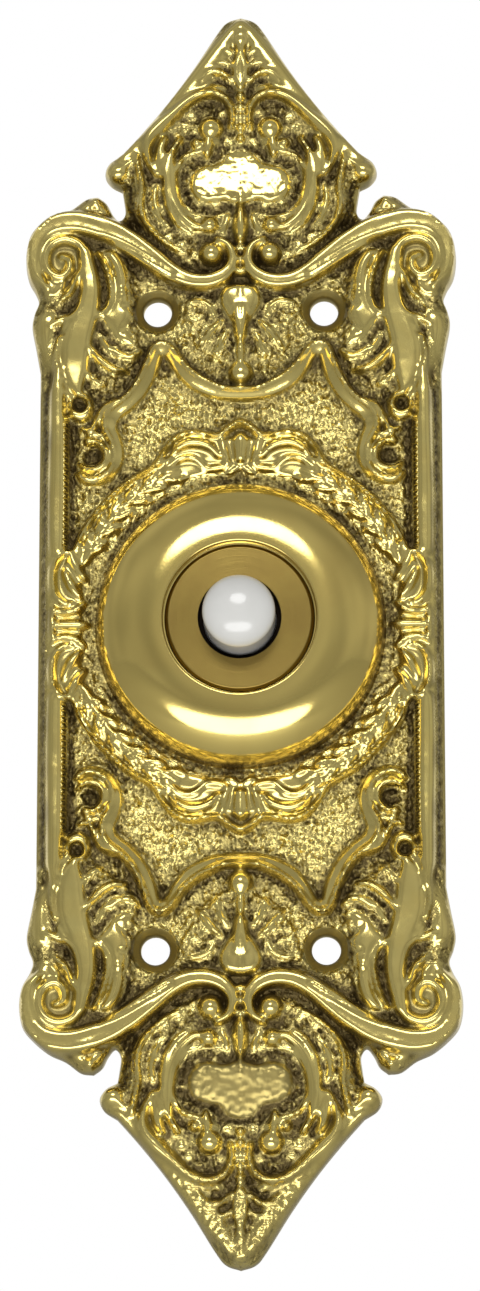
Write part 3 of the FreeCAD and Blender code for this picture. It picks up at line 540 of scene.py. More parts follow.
strand([(28.4, 57.4), (29, 55.6), (30, 54.2)], [0.3, 0.65, 0.3], 5.8, "ridge")
lobe([(30, 52.6), (31.4, 52.2), (33, 51.2), (33.4, 48.4), (32.6, 44.6), (31.4, 41.6), (30.2, 41.2),
    (30, 44.6), (29.6, 47.6), (29, 50)], 5, 1.4)
strand([(26.4, 51.8), (27.6, 50.4), (28.9, 48.4)], [0.35, 0.9, 0.35], 6.1, "ridge")
strand([(28.2, 50.8), (29.4, 50), (30.6, 49.4)], [0.4, 0.85, 0.4], 5.8)
strand([(16, 45.2), (17.4, 44.1), (19.2, 44.3), (20.6, 45.6)], [0.35, 0.8, 0.85, 0.35], 5.6, "ridge")
strand([(18.2, 41.6), (20.4, 41.9), (22.6, 43.4), (24.4, 45.8)], [0.4, 0.95, 1.1, 0.5], 6, "ridge")
strand([(19.6, 43.6), (21.4, 45.4), (22.8, 47.8)], [0.3, 0.75, 0.4], 5.4, "ridge")
strand([(22, 39), (23.6, 40.2), (25, 41.8)], [0.35, 0.75, 0.4], 5.5, "ridge")
# The great S scroll and its two volutes.
strand([(3.8, 63.6), (1.9, 62.4), (1.25, 59.9), (2.4, 57.8), (5, 56.6), (8.2, 56.7), (11.2, 58.1),
    (14.2, 60.4), (17.3, 62.7), (20.3, 64.6), (23.7, 66), (27.3, 66.6), (30.6, 66), (32.7, 64.1),
    (33.6, 61.2), (33.3, 58.2), (31.7, 55.9)], [0.6, 0.95, 1.25, 1.6, 1.75, 1.8, 2, 2.3, 2.55, 2.6, 2.6,
    2.5, 2.3, 2, 1.7, 1.4, 0.7], 6.2, "scroll")
strand([(9, 56.4), (12, 58.2), (15.4, 60.9), (18.8, 63), (21.8, 64.2)], [0.3, 0.55, 0.65, 0.6, 0.3], 6.35)
strand([(21.4, 65.4), (23.8, 66.6), (26.2, 66.9)], [0.4, 0.9, 0.4], 6.5, "swell")
groove([(11, 57.5), (15, 60), (19.2, 62.4), (22.4, 63.6)], 0.45, 0.9)
dome(4.7, 61.2, 2.15, 6.5, 0.5)
dome(28.4, 60, 3, 4.9, 0.4)
strand([(24.6, 58), (24.8, 60.6), (26.2, 62.8), (28.6, 63.6), (30.8, 62.6), (31.7, 60.4), (31, 58.2),
    (29.2, 57.3), (27.8, 58.4), (27.8, 60.2), (29.2, 60.8)], [0.9, 1.1, 1.2, 1.25, 1.25, 1.2, 1.15, 1.1, 1,
    0.8, 0.5], 6.1)
# The fan between the scrolls: a broad double lobe over a drop, and leaves on a stippled bed.
lobe([(-4, 56.6), (0, 56.8), (2.4, 56.3), (3.7, 54.6), (3.7, 52.6), (2.8, 50.8), (1.7, 49), (1.2, 46.8),
    (-4, 46.6)], 5.6, 1.3)
groove([(0, 56.8), (0, 53.6)], 0.3, 0.45)
strand([(0.5, 52.4), (0.5, 50), (0.2, 46.8)], [0.4, 0.95, 0.5], 6.4, "swell")
strand([(4.2, 50.8), (5, 52.4), (6.6, 53.3), (8.6, 53.2)], [0.5, 0.9, 0.8, 0.4], 5.2, "ridge")
strand([(3, 50), (4.3, 48.8), (5.6, 47.2), (6.9, 45.6)], [0.5, 0.95, 0.85, 0.4], 5.4, "ridge")
strand([(2, 48.6), (2.9, 47), (3.6, 45.2), (3.9, 43.6)], [0.4, 0.8, 0.7, 0.3], 5.2, "ridge")
strand([(6.4, 51), (7.6, 50.4), (8.8, 50.6)], [0.4, 0.6, 0.3], 4.8, "ridge")
strand([(0, 46.8), (0, 44.8), (0, 42.8)], [0.7, 1.1, 0.6], 5.4)
dome(0, 41.4, 2.2, 5.6, 0.5)
# The pointed head: a crinkled field framed by C scrolls, a beaded stem and leaves up to the tip.
strand([(1.2, 98.9), (3.6, 95.4), (6.8, 90.6), (10.4, 86), (14, 82), (17, 79), (19, 77.4)], [1.6, 2.1, 2.5,
    2.6, 2.3, 1.9, 1.4], 4.9, "swell")
FIELD = [(-4, 79.4), (0, 79.4), (2.6, 78.6), (3.8, 77.2), (6.2, 76.6), (8.2, 75.2), (8.8, 73), (8, 70.6),
    (5.4, 69.2), (2.6, 69.6), (0, 68.8), (-4, 68.8)]
crinkled[lobe(FIELD, 5.2, 1.2, -0.075)] = 1
strand([(3.6, 80), (6.4, 78.5), (8.9, 77.7), (10.3, 75.6), (10.4, 72.8), (9.6, 69.8), (7.8, 67.9),
    (5, 67.2), (2.8, 67.8)], [0.35, 0.5, 0.55, 0.55, 0.55, 0.55, 0.6, 0.5, 0.35], 5.2)
strand([(9.6, 80.8), (11.1, 78.4), (11.4, 75.6), (11.4, 72.6), (10.8, 69.8), (9.4, 67.4), (7.4, 65.8),
    (5.8, 65.4)], [0.4, 0.75, 1, 1.1, 1.1, 1.1, 1, 0.5], 5.7, "flat")
strand([(12.1, 78.2), (12.3, 74.8), (12.2, 71.4), (11.5, 68.4), (10, 66), (8, 64.6)], [0.25, 0.4, 0.45,
    0.45, 0.45, 0.25], 6.1)
strand([(1.6, 82.4), (1.4, 84.8), (2.2, 87), (4.4, 88.2), (6.8, 87.9), (9, 86.6), (11.2, 84.6),
    (13.2, 82.8), (14.9, 80.8), (15.3, 78.6), (14.7, 76.4), (13.7, 74.4)], [0.5, 0.7, 0.85, 0.95, 1.05,
    1.15, 1.35, 1.75, 1.55, 0.95, 0.7, 0.4], 6.1)
strand([(12.2, 80.8), (13, 78.8), (13.2, 76.4), (12.9, 74.2)], [0.6, 1.1, 1.1, 0.5], 5.6, "flat")
strand([(17, 78), (16.5, 75.2), (16, 72.4), (16.3, 69.6), (15.6, 66.8), (13.8, 64.6), (11.6, 62.8),
    (9.2, 61.6)], [0.4, 0.7, 0.7, 0.75, 0.75, 0.7, 0.65, 0.4], 5.5)
groove([(18.8, 72.6), (18.4, 70.2), (18.2, 68.2), (17.2, 66)], 1.3, 1.4)
strand([(13.6, 73), (14, 70.6), (13.4, 67.8), (12, 65.8)], [0.4, 0.7, 0.7, 0.4], 5.1)
dome(4.8, 82.3, 2.15, 6.3, 0.5)
strand([(5.2, 80.6), (5.3, 79.2), (5.4, 77.6)], [0.8, 1.25, 0.6], 5.9)
dome(7.1, 79.8, 1.1, 6)
dome(5, 66, 1.6, 5.9, 0.5)
strand([(0, 70), (0, 68), (0, 65.8), (0, 63.8)], [0.3, 1.2, 1.8, 1.4], 6.4, "ridge")
leaf(2.6, 66.6, 4, 1.6, 110, 5.2)
for z in (58.2, 60.2, 62.2):
    dome(0, z, 1.0, 5.6)
strand([(0, 82), (0, 96.4)], [0.6, 0.6], 5)
for z in (80.6, 82.4, 84.2, 86.0, 87.8):
    dome(0, z, 0.95, 5.7)
strand([(0.3, 89.4), (0.7, 91.4), (0.6, 93.6), (0.2, 95.6)], [0.5, 0.8, 0.8, 0.4], 5.5, "swell")
strand([(1.4, 90.3), (3, 91.7), (5, 91.9), (6.5, 90.4)], [0.45, 0.85, 0.95, 0.45], 5.8, "ridge")
lobe([(1.4, 88.8), (3.2, 90.1), (5.8, 90), (6.9, 89.1), (4.6, 88.6)], 5.1, 0.6)
strand([(1, 92.4), (2.4, 93.6), (4.5, 93.7)], [0.35, 0.7, 0.35], 5.3, "ridge")
strand([(1.1, 95), (2.4, 96), (3.6, 95.6)], [0.35, 0.7, 0.35], 5.4, "ridge")
strand([(0.35, 98), (0.4, 96.8), (0.3, 95.4)], [0.4, 0.75, 0.4], 5.8)
dome(0, 99.4, 1.9, 5.5, 0.5)
dome(20, 75.2, 1.9, 5.3, 0.5)
strand([(17.4, 77), (18.8, 76.2), (19.8, 75.4)], [0.35, 0.7, 0.35], 5.4, "ridge")
strand([(22.2, 68.6), (24, 69.4), (26, 68.8)], [0.9, 1.3, 0.9], 4.6)
dome(23.6, 70, 1.2, 5.2)
for x, z, radius in (
    (7.4, 61.2, 0.8), (9.4, 62.8, 0.8), (11.6, 64.2, 0.7), (12.6, 71.8, 0.8), (12.9, 69.0, 0.8),
    (14.6, 72.2, 0.6), (6.8, 69.9, 0.6), (4.0, 69.4, 0.6), (8.9, 73.6, 0.5), (2.0, 80.2, 0.9),
    (3.0, 84.9, 0.8), (9.2, 82.6, 1.1), (8.0, 84.4, 0.9), (10.2, 81.0, 0.8), (7.4, 82.2, 0.7),
    (11.0, 82.2, 0.7), (2.6, 64.6, 0.7), (4.4, 52.4, 0.7), (5.6, 49.0, 0.7), (4.2, 44.8, 0.6),
    (3.0, 53.0, 0.6), (3.6, 92.6, 0.5), (1.9, 94.2, 0.5),
):
    dome(x, z, radius, bed[near_points(np.array([[x, z]]), 0.1)[0]] + 0.9)
# A low ledge runs outside the long rails, below the corner leaves.
LEDGE_LEVEL, LEDGE_WIDE, LEDGE_SLOPE = 1.8, 0.7, 2.75
ledge = LEDGE_LEVEL + LEDGE_SLOPE * np.clip(WAIST - LEDGE_WIDE - plan[:, 0], 0, 9)
relief = np.minimum(relief, ledge + 9.0 * shoulder((plan[:, 1] - 38.0) / 6.0))


# The carving is softened as a casting is, and a closer net of points is laid where it bends more.
def softened(field, reach):
    """A raster blurred by a bell curve of a given reach in millimetres, mirrored at its borders."""
    taps = int(3 * reach / RASTER) + 1
    weights = np.exp(-0.5 * (np.arange(-taps, taps + 1) * RASTER / reach) ** 2)
    weights /= weights.sum()
    for _ in range(2):
        padded = np.pad(field, ((taps, taps), (0, 0)), mode="reflect")
        field = sum(w * padded[k:k + field.shape[0]] for k, w in enumerate(weights)).T
    return field


SOFTNESS = 0.30
carved = softened(relief.reshape(raster_x.shape), SOFTNESS)
bed_level = softened(bed.reshape(raster_x.shape), SOFTNESS)
bend = softened(np.abs(softened(carved, 0.25) - softened(carved, 0.5)), 0.25)


def sample(field, places):
    """Values of a raster at any places on the plan."""
    column = np.clip(places[:, 0] / RASTER, 0, field.shape[1] - 1.001)
    row = np.clip(places[:, 1] / RASTER, 0, field.shape[0] - 1.001)
    k, m = column.astype(int), row.astype(int)
    u, v = column - k, row - m
    return (field[m, k] * (1 - u) * (1 - v) + field[m, k + 1] * u * (1 - v)
            + field[m + 1, k] * (1 - u) * v + field[m + 1, k + 1] * u * v)


def hexagonal(pitch):
    """A net of points with six neighbours each, over the quarter's plan."""
    row_pitch = 0.866
    grid = []
    for row in range(1, int(PLATE_TOP / (pitch * row_pitch)) + 1):
        across = np.arange(0.5 if row % 2 else 1.0, PLATE_HALF / pitch) * pitch
        grid.append(np.column_stack([across, np.full(len(across), row * pitch * row_pitch)]))
    return np.vstack(grid)


def plan_net():
    """The points and triangles of the upper right quarter of the plate's plan."""
    bore = ring_points(0, 0, SPIGOT_BORE, 96)[:25]
    bore[0], bore[-1] = (SPIGOT_BORE, 0), (0, SPIGOT_BORE)
    up = np.linspace(SPIGOT_BORE, PLATE_TOP, 281)[1:-1]
    across = np.linspace(WAIST, SPIGOT_BORE, 57)[1:-1]
    loop = np.vstack([rim, np.column_stack([across, 0 * across]), bore, np.column_stack([0 * up, up])])
    holes = ring_points(SCREW_X, SCREW_Z, SCREW_HOLE, 32)
    close = hexagonal(CLOSE_PITCH)
    close = close[sample(bend, close) > CLOSE_BEND]
    wide = hexagonal(WIDE_PITCH)
    wide = wide[sample(bend, wide) <= CLOSE_BEND]
    grid = np.vstack([close, wide])
    grid = grid[(np.hypot(*grid.T) > BEZEL_SEAT - 0.6) & inside(grid, loop) & (grid.min(axis=1) > 0.15)]
    grid = grid[to_line(grid, rim)[0] > EDGE_ROLL + 0.02]
    grid = grid[np.hypot(grid[:, 0] - SCREW_X, grid[:, 1] - SCREW_Z) > SCREW_SINK + 0.3]
    inset = []
    run = np.gradient(rim, axis=0)
    inward = np.column_stack([run[:, 1], -run[:, 0]])
    inward /= np.hypot(*inward.T)[:, None] + 1e-12
    for depth in (0.14, 0.36):
        row = rim + inward * depth
        row = row[inside(row, loop) & (row.min(axis=1) > 0.1)]
        inset.append(row[to_line(row, rim)[0] > depth * 0.8])
    rings = [ring_points(SCREW_X, SCREW_Z, r, n) for r, n in ((2.7, 36), (3.1, 40), (3.4, 48), (3.56, 48))]
    seat = [ring_points(0, 0, r, n) for r, n in ((16, 72), (19, 84), (21.5, 120), (22.6, 220))]
    seat = [ring[ring.min(axis=1) > 0.2] for ring in seat]
    corners = np.vstack([loop, holes] + inset + rings + seat + [grid])
    ties = [(k, (k + 1) % len(loop)) for k in range(len(loop))]
    first = len(loop)
    ties += [(first + k, first + (k + 1) % len(holes)) for k in range(len(holes))]
    found = delaunay_2d_cdt([Vector(p) for p in corners.tolist()], ties, [], 0, 1e-6)
    spots = np.array([tuple(p) for p in found[0]])
    faces = np.array(found[2])
    heart = spots[faces].mean(axis=1)
    return spots, faces[inside(heart, loop) & ~inside(heart, holes)]


plan, plan_faces = plan_net()
relief = sample(carved, plan)
raised = sample(unit((carved - bed_level - 0.12) / 0.5), plan)
from_middle = np.hypot(plan[:, 0], plan[:, 1])
in_laurel = unit((28.9 - from_middle) / 0.5) * unit((plan.min(axis=1) - 11) / 1.5)
raised *= 1 - 0.30 * in_laurel
crinkle = sample(softened(crinkled.reshape(raster_x.shape), 0.4), plan)
near_hollow = sample(softened(carved, 1.0), plan) - relief
wide_hollow = sample(softened(carved, 2.6), plan) - relief
steep = sample(np.hypot(*np.gradient(carved, RASTER)), plan)
on_bed = sample(unit((bed_level - GROUND - 0.2) / 0.5), plan)

# Screw holes and the bezel's seat are cut after the carving, and the rim is rolled over.
from_screw = np.hypot(plan[:, 0] - SCREW_X, plan[:, 1] - SCREW_Z)
past_sink = from_screw - SCREW_SINK
over_screw = GROUND + np.where(past_sink < 0, past_sink, 3.0 * np.clip(past_sink, 0, 9))
relief = np.minimum(relief, over_screw)
open_ground = unit((from_middle - BEZEL_SEAT + 0.1) / 0.6)
relief = GROUND + (relief - GROUND) * open_ground
rim_gap = to_line(plan, rim)[0]
roll = np.sqrt(unit(1 - (1 - unit(rim_gap / EDGE_ROLL)) ** 2))
relief = EDGE_LOW + (relief - EDGE_LOW) * roll

# The quarter is mirrored four ways, stitched, stippled, and given its walls and its flat back.
fields = [relief, rim_gap, from_screw, from_middle, raised, near_hollow, wide_hollow, crinkle, steep, on_bed]
corners, faces = [], []
for across, up in ((1, 1), (-1, 1), (-1, -1), (1, -1)):
    turned = plan_faces if across * up > 0 else plan_faces[:, ::-1]
    faces.append(turned + len(plan) * len(corners))
    corners.append(np.column_stack([plan * (across, up)] + fields))
corners, faces = np.vstack(corners), np.vstack(faces)
_, first, place = np.unique(np.round(corners[:, :2], 4), axis=0, return_index=True, return_inverse=True)
corners, faces = corners[first], place.reshape(-1)[faces]
faces = faces[[len(set(face)) == 3 for face in faces.tolist()]]
(x, z, height, rim_gap, from_screw, from_middle, raised, near_hollow, wide_hollow, crinkle, steep,
 on_bed) = corners.T
pairs = np.vstack([faces[:, [0, 1]], faces[:, [1, 2]], faces[:, [2, 0]]]).tolist()
STIPPLE, RELIEF_TOP = 0.42, 6.55
stipple = np.array([
    noise.noise((a * 1.15, b * 1.15, 0.0)) + 0.6 * noise.noise((a * 2.1, b * 2.1, 5.0)) for a, b in zip(x, z)
])
waver = np.array([noise.noise((a * 0.22, b * 0.22, 9.0)) for a, b in zip(x, z)])
open_ground = unit((from_middle - BEZEL_SEAT - 0.3) / 0.8)
open_ground *= unit((from_screw - SCREW_SINK - 0.1) / 0.6)
inner = unit((rim_gap - 0.3) / 0.8)
lower_tip = unit((-z - 84) / 6)
raised = raised * (1 - 0.45 * lower_tip)
stippled = (1 - raised) * inner * unit((from_screw - SCREW_SINK) / 0.4)
bumps = STIPPLE * stipple * (1 - raised) * open_ground * inner
height = height + bumps + (0.010 * stipple + 0.06 * waver) * raised * inner + 0.15 * stipple * crinkle
height = np.minimum(height, RELIEF_TOP)
# The dark mark: brown patina in the near and wide hollows, lightened on stipple peaks, with painted shade
# added below.
depth = unit(near_hollow / 0.8) * 0.6 + unit(wide_hollow / 1.3) * 0.5 - bumps * 0.8
# Painted shade: the crinkled field in the lower half and the lower tip are darkened.
depth += 0.55 * crinkle * (z < 0) + 0.15 * lower_tip
# Painted shade on steep flanks, which darkens what they reflect; patina on the raised beds' ground.
depth += 0.40 * unit((steep - 0.7) / 1.2) * (0.7 + waver) + 0.30 * on_bed * (1 - raised)
# Painted shade on the ground round the bezel's seat, where the bezel meets the plate.
depth += 0.45 * unit((BEZEL_SEAT + 1.3 - from_middle) / 1.0) * (1 + 1.2 * waver)
# The countersinks are darkened evenly, and so is a narrow band along the rolled rim.
sunk = unit((SCREW_SINK + 0.15 - from_screw) / 0.25)
depth = np.maximum(depth, 0.62 * sunk)
depth = unit(unit(depth) * inner + 0.5 * unit(1.1 - rim_gap / 0.5))

directed = {(a, b) for a, b in pairs}
border = [(a, b) for a, b in pairs if (b, a) not in directed]
foot_of = {}
vertices = [(a * MM, -h * MM, b * MM) for a, h, b in zip(x, height, z)]
patina_and_shade_marks, ground_marks = depth.tolist(), stippled.tolist()
for a, _ in border:
    foot_of[a] = len(vertices)
    vertices.append((x[a] * MM, 0.0, z[a] * MM))
    patina_and_shade_marks.append(0.35)
    ground_marks.append(0.0)
polygons = [tuple(face) for face in faces.tolist()]
polygons += [(b, a, foot_of[a], foot_of[b]) for a, b in border]
feet = sorted(foot_of.values())
number_of = {foot: k for k, foot in enumerate(feet)}
back_points = [Vector((vertices[foot][0] / MM, vertices[foot][2] / MM)) for foot in feet]
back_ties = [(number_of[foot_of[a]], number_of[foot_of[b]]) for a, b in border]
back = delaunay_2d_cdt(back_points, back_ties, [], 0, 1e-6)
back_faces = back[2]
following = dict(border)
loops, waiting = [], set(following)
while waiting:
    start = min(waiting)
    loop = [start]
    while following[loop[-1]] != start:
        loop.append(following[loop[-1]])
    waiting -= set(loop)
    loops.append(np.array([(x[k], z[k]) for k in loop]))
hearts = np.array([[sum(back[0][k][axis] for k in face) / 3 for axis in (0, 1)] for face in back_faces])
solid = np.zeros(len(hearts), bool)
for loop in loops:
    solid ^= inside(hearts, loop)
for face, kept in zip(back_faces, solid):
    if kept:
        polygons.append(tuple(feet[k] for k in face))
plate_mesh = bpy.data.meshes.new("cast_plate")
plate_mesh.from_pydata(vertices, [], polygons)
# The attribute hollow carries the patina and the painted shade.
for name, marks in (("hollow", patina_and_shade_marks), ("ground", ground_marks)):
    plate_mesh.attributes.new(name, "FLOAT", "POINT").data.foreach_set("value", marks)
plate = bpy.data.objects.new("cast_plate", plate_mesh)
bpy.context.collection.objects.link(plate)


def choose(piece):
    """Makes a piece the only selected one."""
    bpy.ops.object.select_all(action="DESELECT")
    piece.select_set(True)
    bpy.context.view_layer.objects.active = piece


def work_on(piece):
    """Opens a piece for editing, all selected."""
    choose(piece)
    bpy.ops.object.mode_set(mode="EDIT")
    bpy.ops.mesh.select_all(action="SELECT")


work_on(plate)
bpy.ops.mesh.normals_make_consistent(inside=False)
bpy.ops.object.mode_set(mode="OBJECT")
bpy.ops.object.shade_smooth_by_angle(angle=math.radians(50))

BRASS = (0.80, 0.665, 0.235)
BRASS_WARM = (0.78, 0.615, 0.195)
PATINA_AND_SHADE = (0.12, 0.088, 0.035)
BEADS_AT, BEADS_LOW, BEADS_HIGH, BEADS_TURN = 0.0281, 0.0125, 0.0335, 6545.0
cast_brass, coat, place = new_finish("cast_brass")
patina_and_shade_mark = coat.add("ShaderNodeAttribute", {"attribute_name": "hollow"}, "Fac")
ground_mark = coat.add("ShaderNodeAttribute", {"attribute_name": "ground"}, "Fac")
cloud = coat.clouds(place, 320.0, 4.0)
speck = coat.clouds(place, 2200.0, 3.0)
pebble = coat.add("ShaderNodeTexVoronoi", {"feature": "SMOOTH_F1"}, "Distance", Vector=place, Scale=1050.0)
# Patina and painted shade from the dark mark, with dark specks in the stippled ground.
patina_and_painted_shade = (patina_and_shade_mark * 1.1 + ground_mark * (speck - 0.5) * 1.5 + (cloud - 0.5) * 0.3 * ground_mark).held()
tone = coat.blend((cloud * 1.6 - 0.4).held(), BRASS, BRASS_WARM)
colour = coat.blend(patina_and_painted_shade, tone, PATINA_AND_SHADE)
rough = 0.12 + 0.05 * ground_mark + 0.34 * patina_and_painted_shade + 0.05 * cloud
side = coat.add("ShaderNodeSeparateXYZ", n0=place)
across, up = [wire.maths("ABSOLUTE", wire) for wire in (side, side.other("Z"))]
bead_row = (1.0 - ((across - BEADS_AT) * 2800.0) ** 2.0).held()
bead_row = bead_row * ((up - BEADS_LOW) * 2000.0).held() * ((BEADS_HIGH - up) * 2000.0).held()
bead_row = bead_row * (0.5 + 0.5 * up.maths("COSINE", up * BEADS_TURN))
bump_height = pebble * ground_mark * 2.0 + speck * ground_mark * 0.4 + cloud * 0.02 + bead_row * 1.4
coat.surface((1.0, 0.00034, bump_height), Base_Color=colour, Metallic=1.0, Roughness=rough)
plate_mesh.materials.append(cast_brass)
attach(plate, "plate")
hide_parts("back_plate")

# Bezel: a ring turned from brass bar, domed and polished to a mirror, with a lip round the cap.
# Its threaded spigot passes through the plate and is drawn down from behind.
def rounded(corners, steps=6):
    """Profile points with each corner rounded to its own radius. Corners are (radius, depth, round)."""
    line = []
    for k, (out, back, radius) in enumerate(corners):
        here = np.array([out, back], float)
        if radius == 0 or k in (0, len(corners) - 1):
            line.append(here)
            continue
        before = np.array(corners[k - 1][:2], float) - here
        after = np.array(corners[k + 1][:2], float) - here
        before, after = before / np.hypot(*before), after / np.hypot(*after)
        half = math.acos(max(-1.0, min(1.0, float(before @ after)))) / 2
        reach = radius / math.tan(half)
        middle = (before + after) / np.hypot(*(before + after)) * radius / math.sin(half)
        start, end = before * reach - middle, after * reach - middle
        turn = math.atan2(start[0] * end[1] - start[1] * end[0], start @ end)
        for share in np.linspace(0, 1, steps):
            c, s = math.cos(turn * share), math.sin(turn * share)
            line.append(here + middle + np.array([start[0] * c - start[1] * s, start[0] * s + start[1] * c]))
    return line


def held_flat(line, hold=0.08):
    """The profile with a point close to both ends of each long side, so that flats stay flat."""
    full = [line[0]]
    for here, there in zip(line, line[1:]):
        step = there - here
        length = float(np.hypot(*step))
        if length > 5 * hold:
            full += [here + step * hold / length, there - step * hold / length]
        full.append(there)
    return full


def thread(radius, start, end, pitch, depth):
    """The ridges of a fine thread along a turned side."""
    line = []
    for k in range(int((end - start) / pitch)):
        root = start + pitch * (k + 0.5)
        line += [(radius, root - 0.4 * pitch), (radius - depth, root), (radius, root + 0.4 * pitch)]
    return [np.array(corner) for corner in line]


def drawn(name, line, start=0.0):
    """A line of edges drawn from one point by extruding it step by step."""
    bpy.ops.object.select_all(action="DESELECT")
    bpy.ops.mesh.primitive_plane_add(size=0.001, location=(0, 0, 0))
    piece = bpy.context.object
    piece.name = name
    piece.data.name = name
    bpy.ops.object.mode_set(mode="EDIT")
    bpy.ops.mesh.select_all(action="SELECT")
    bpy.ops.mesh.merge(type="CENTER")
    bpy.ops.transform.translate(value=(line[0][0] * MM, line[0][1] * MM, start * MM))
    for here, there in zip(line, line[1:]):
        step = ((there[0] - here[0]) * MM, (there[1] - here[1]) * MM, 0)
        bpy.ops.mesh.extrude_region_move(TRANSFORM_OT_translate={"value": step})
    bpy.ops.mesh.select_all(action="SELECT")
    return piece


def turned_piece(name, line, steps=128, across=0.0):
    """A piece spun round an axis into the wall from a profile of (radius, depth) points in millimetres."""
    piece = drawn(name, held_flat([np.array(corner, float) for corner in line]))
    bpy.ops.mesh.spin(steps=steps, angle=2 * math.pi, center=(0, 0, 0), axis=(0, 1, 0))
    bpy.ops.mesh.select_all(action="SELECT")
    bpy.ops.mesh.remove_doubles(threshold=0.000002)
    bpy.ops.mesh.normals_make_consistent(inside=False)
    bpy.ops.transform.translate(value=(across * MM, 0, 0))
    bpy.ops.object.mode_set(mode="OBJECT")
    bpy.ops.object.shade_smooth_by_angle(angle=math.radians(35))
    return piece


def fitted(piece, material, node, body="plate"):
    """Gives a finished piece its material and its place in the push."""
    piece.data.materials.append(material)
    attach(piece, body)
    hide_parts(node)


LIP_FRONT, LIP_OUT = -11.1, 13.1
CROWN_OUT, CROWN_FOOT = 23.0, -4.1
SPIGOT, SPIGOT_END = 14.5, 6.0


def quarter_oval(out, wide, foot, high, steps):
    """Profile points of a dome's side, its ends left out."""
    angles = [math.pi / 2 * k / steps for k in range(1, steps)]
    return [np.array([out + wide * math.sin(a), foot + high * math.cos(a)]) for a in angles]


crown = quarter_oval(LIP_OUT, CROWN_OUT - LIP_OUT, CROWN_FOOT, LIP_FRONT - CROWN_FOOT, 40)
line = [np.array([SPIGOT, -GROUND])] + thread(SPIGOT, 0.2, 5.7, 0.9, 0.45)
line += rounded([
    (SPIGOT, 5.6, 0), (SPIGOT, SPIGOT_END, 0.2), (12.6, SPIGOT_END, 0.2), (12.6, 0.5, 0.05), (10.5, 0.5, 0.1),
    (10.5, -6.6, 0.1), (11.9, -6.6, 0.05), (11.9, -9.4, 0.05), (12.2, -9.4, 0.05), (12.2, LIP_FRONT, 0.34),
    (LIP_OUT, LIP_FRONT, 0),
])
line += crown + rounded([(22.99, -4.15, 0), (23.3, -GROUND, 0.03), (SPIGOT, -GROUND, 0)])
bezel = turned_piece("turned_bezel", line, 160)
polished_brass, coat, place = new_finish("polished_brass")
smear = coat.clouds(place, 55.0, 3.0, Distortion=0.6)
cloud = coat.clouds(place, 190.0, 5.0)
scratch = coat.clouds(place, 2600.0, 2.0)
tarnish = (smear * 3.0 - 1.2 + 0.5 * (cloud - 0.5)).held()
# Painted shade: the dome's foot, next to the plate, is darkened and dulled.
foot = ((coat.from_axis(place) - 0.0217) * 800.0).held() * (0.45 + 0.5 * cloud)
colour = coat.blend(tarnish, (0.80, 0.63, 0.20), (0.70, 0.53, 0.16))
coat.surface(
    (0.12, 0.00003, scratch), Base_Color=coat.blend(foot, colour, (0.16, 0.11, 0.045)), Metallic=1.0,
    Roughness=0.07 + 0.05 * cloud + 0.05 * tarnish + 0.02 * scratch + 0.2 * foot,
)
fitted(bezel, polished_brass, "bezel")

# Guide cap: a thin disc of turned brass, satin finished and lacquered a warm brown. It is bored for
# the button, and the counterbore round the button is painted near black as the shade in the gap.
cap = turned_piece("satin_cap", rounded([
    (9.0, -10.2, 0), (11.35, -10.2, 0.3), (11.8, -9.8, 0.1), (11.8, -6.6, 0.1), (5.83, -6.6, 0.1),
    (5.83, -7.8, 0.05), (6.55, -7.8, 0.05), (6.55, -10.2, 0.12), (9.0, -10.2, 0),
]), 128)
satin_brass, coat, place = new_finish("satin_brass")
reach = coat.from_axis(place)
# Painted shade: the counterbore round the button is painted near black.
painted_gap_shade = ((0.00668 - reach) * 9000.0).held()
rings = coat.add(
    "ShaderNodeTexNoise", {"noise_dimensions": "1D"}, "Fac", W=reach * 9000.0, Scale=1.0, Detail=4.0,
)
cloud = coat.clouds(place, 240.0, 4.0)
colour = coat.blend((cloud * 1.6 - 0.3).held(), (0.30, 0.215, 0.056), (0.25, 0.17, 0.046))
coat.surface(
    (0.35, 0.00004, rings), Base_Color=coat.blend(painted_gap_shade, colour, (0.02, 0.014, 0.01)), Metallic=1.0,
    Roughness=0.26 + 0.08 * cloud + 0.4 * painted_gap_shade,
)
fitted(cap, satin_brass, "guide_cap")

# Push button: glazed white, with a domed end, a stop flange behind the cap and a boss for the leaf.
# It is the one piece that moves, 1.8 mm into the bezel.
BUTTON_OUT, BUTTON_RIM, BUTTON_CROWN = 5.75, -15.4, 3.4
button_top = np.array([0.0, BUTTON_RIM - BUTTON_CROWN])
button_end = quarter_oval(0, BUTTON_OUT, BUTTON_RIM, -BUTTON_CROWN, 24) + [np.array([BUTTON_OUT, BUTTON_RIM])]
button = turned_piece("glazed_button", [button_top] + button_end + rounded([
    (BUTTON_OUT, -15.2, 0), (BUTTON_OUT, -6.6, 0.1), (8.2, -6.6, 0.2), (8.2, -5.0, 0.2), (2.5, -5.0, 0.1),
    (2.5, -2.4, 0.3), (0.0, -2.4, 0),
]), 96)
glazed_white, coat, place = new_finish("glazed_white")
cloud = coat.clouds(place, 200.0, 4.0)
coat.surface(
    (0.1, 0.00005, cloud),
    Base_Color=coat.blend((cloud * 1.4 - 0.3).held(), (0.72, 0.715, 0.69), (0.66, 0.655, 0.63)),
    Roughness=0.16 + 0.08 * cloud, Coat_Weight=0.6, Coat_Roughness=0.06, IOR=1.5,
)
fitted(button, glazed_white, "push_button", "button")

# Contact base: a disc moulded in dark phenolic resin that sits in the back of the bezel, with two
# holes for the terminals. It is pressed against the bezel's step by the ring behind it.
BASE_FRONT, BASE_BACK, BASE_OUT = 0.5, 4.1, 12.5
TERMINAL, TERMINAL_HOLE = 7.8, 1.4


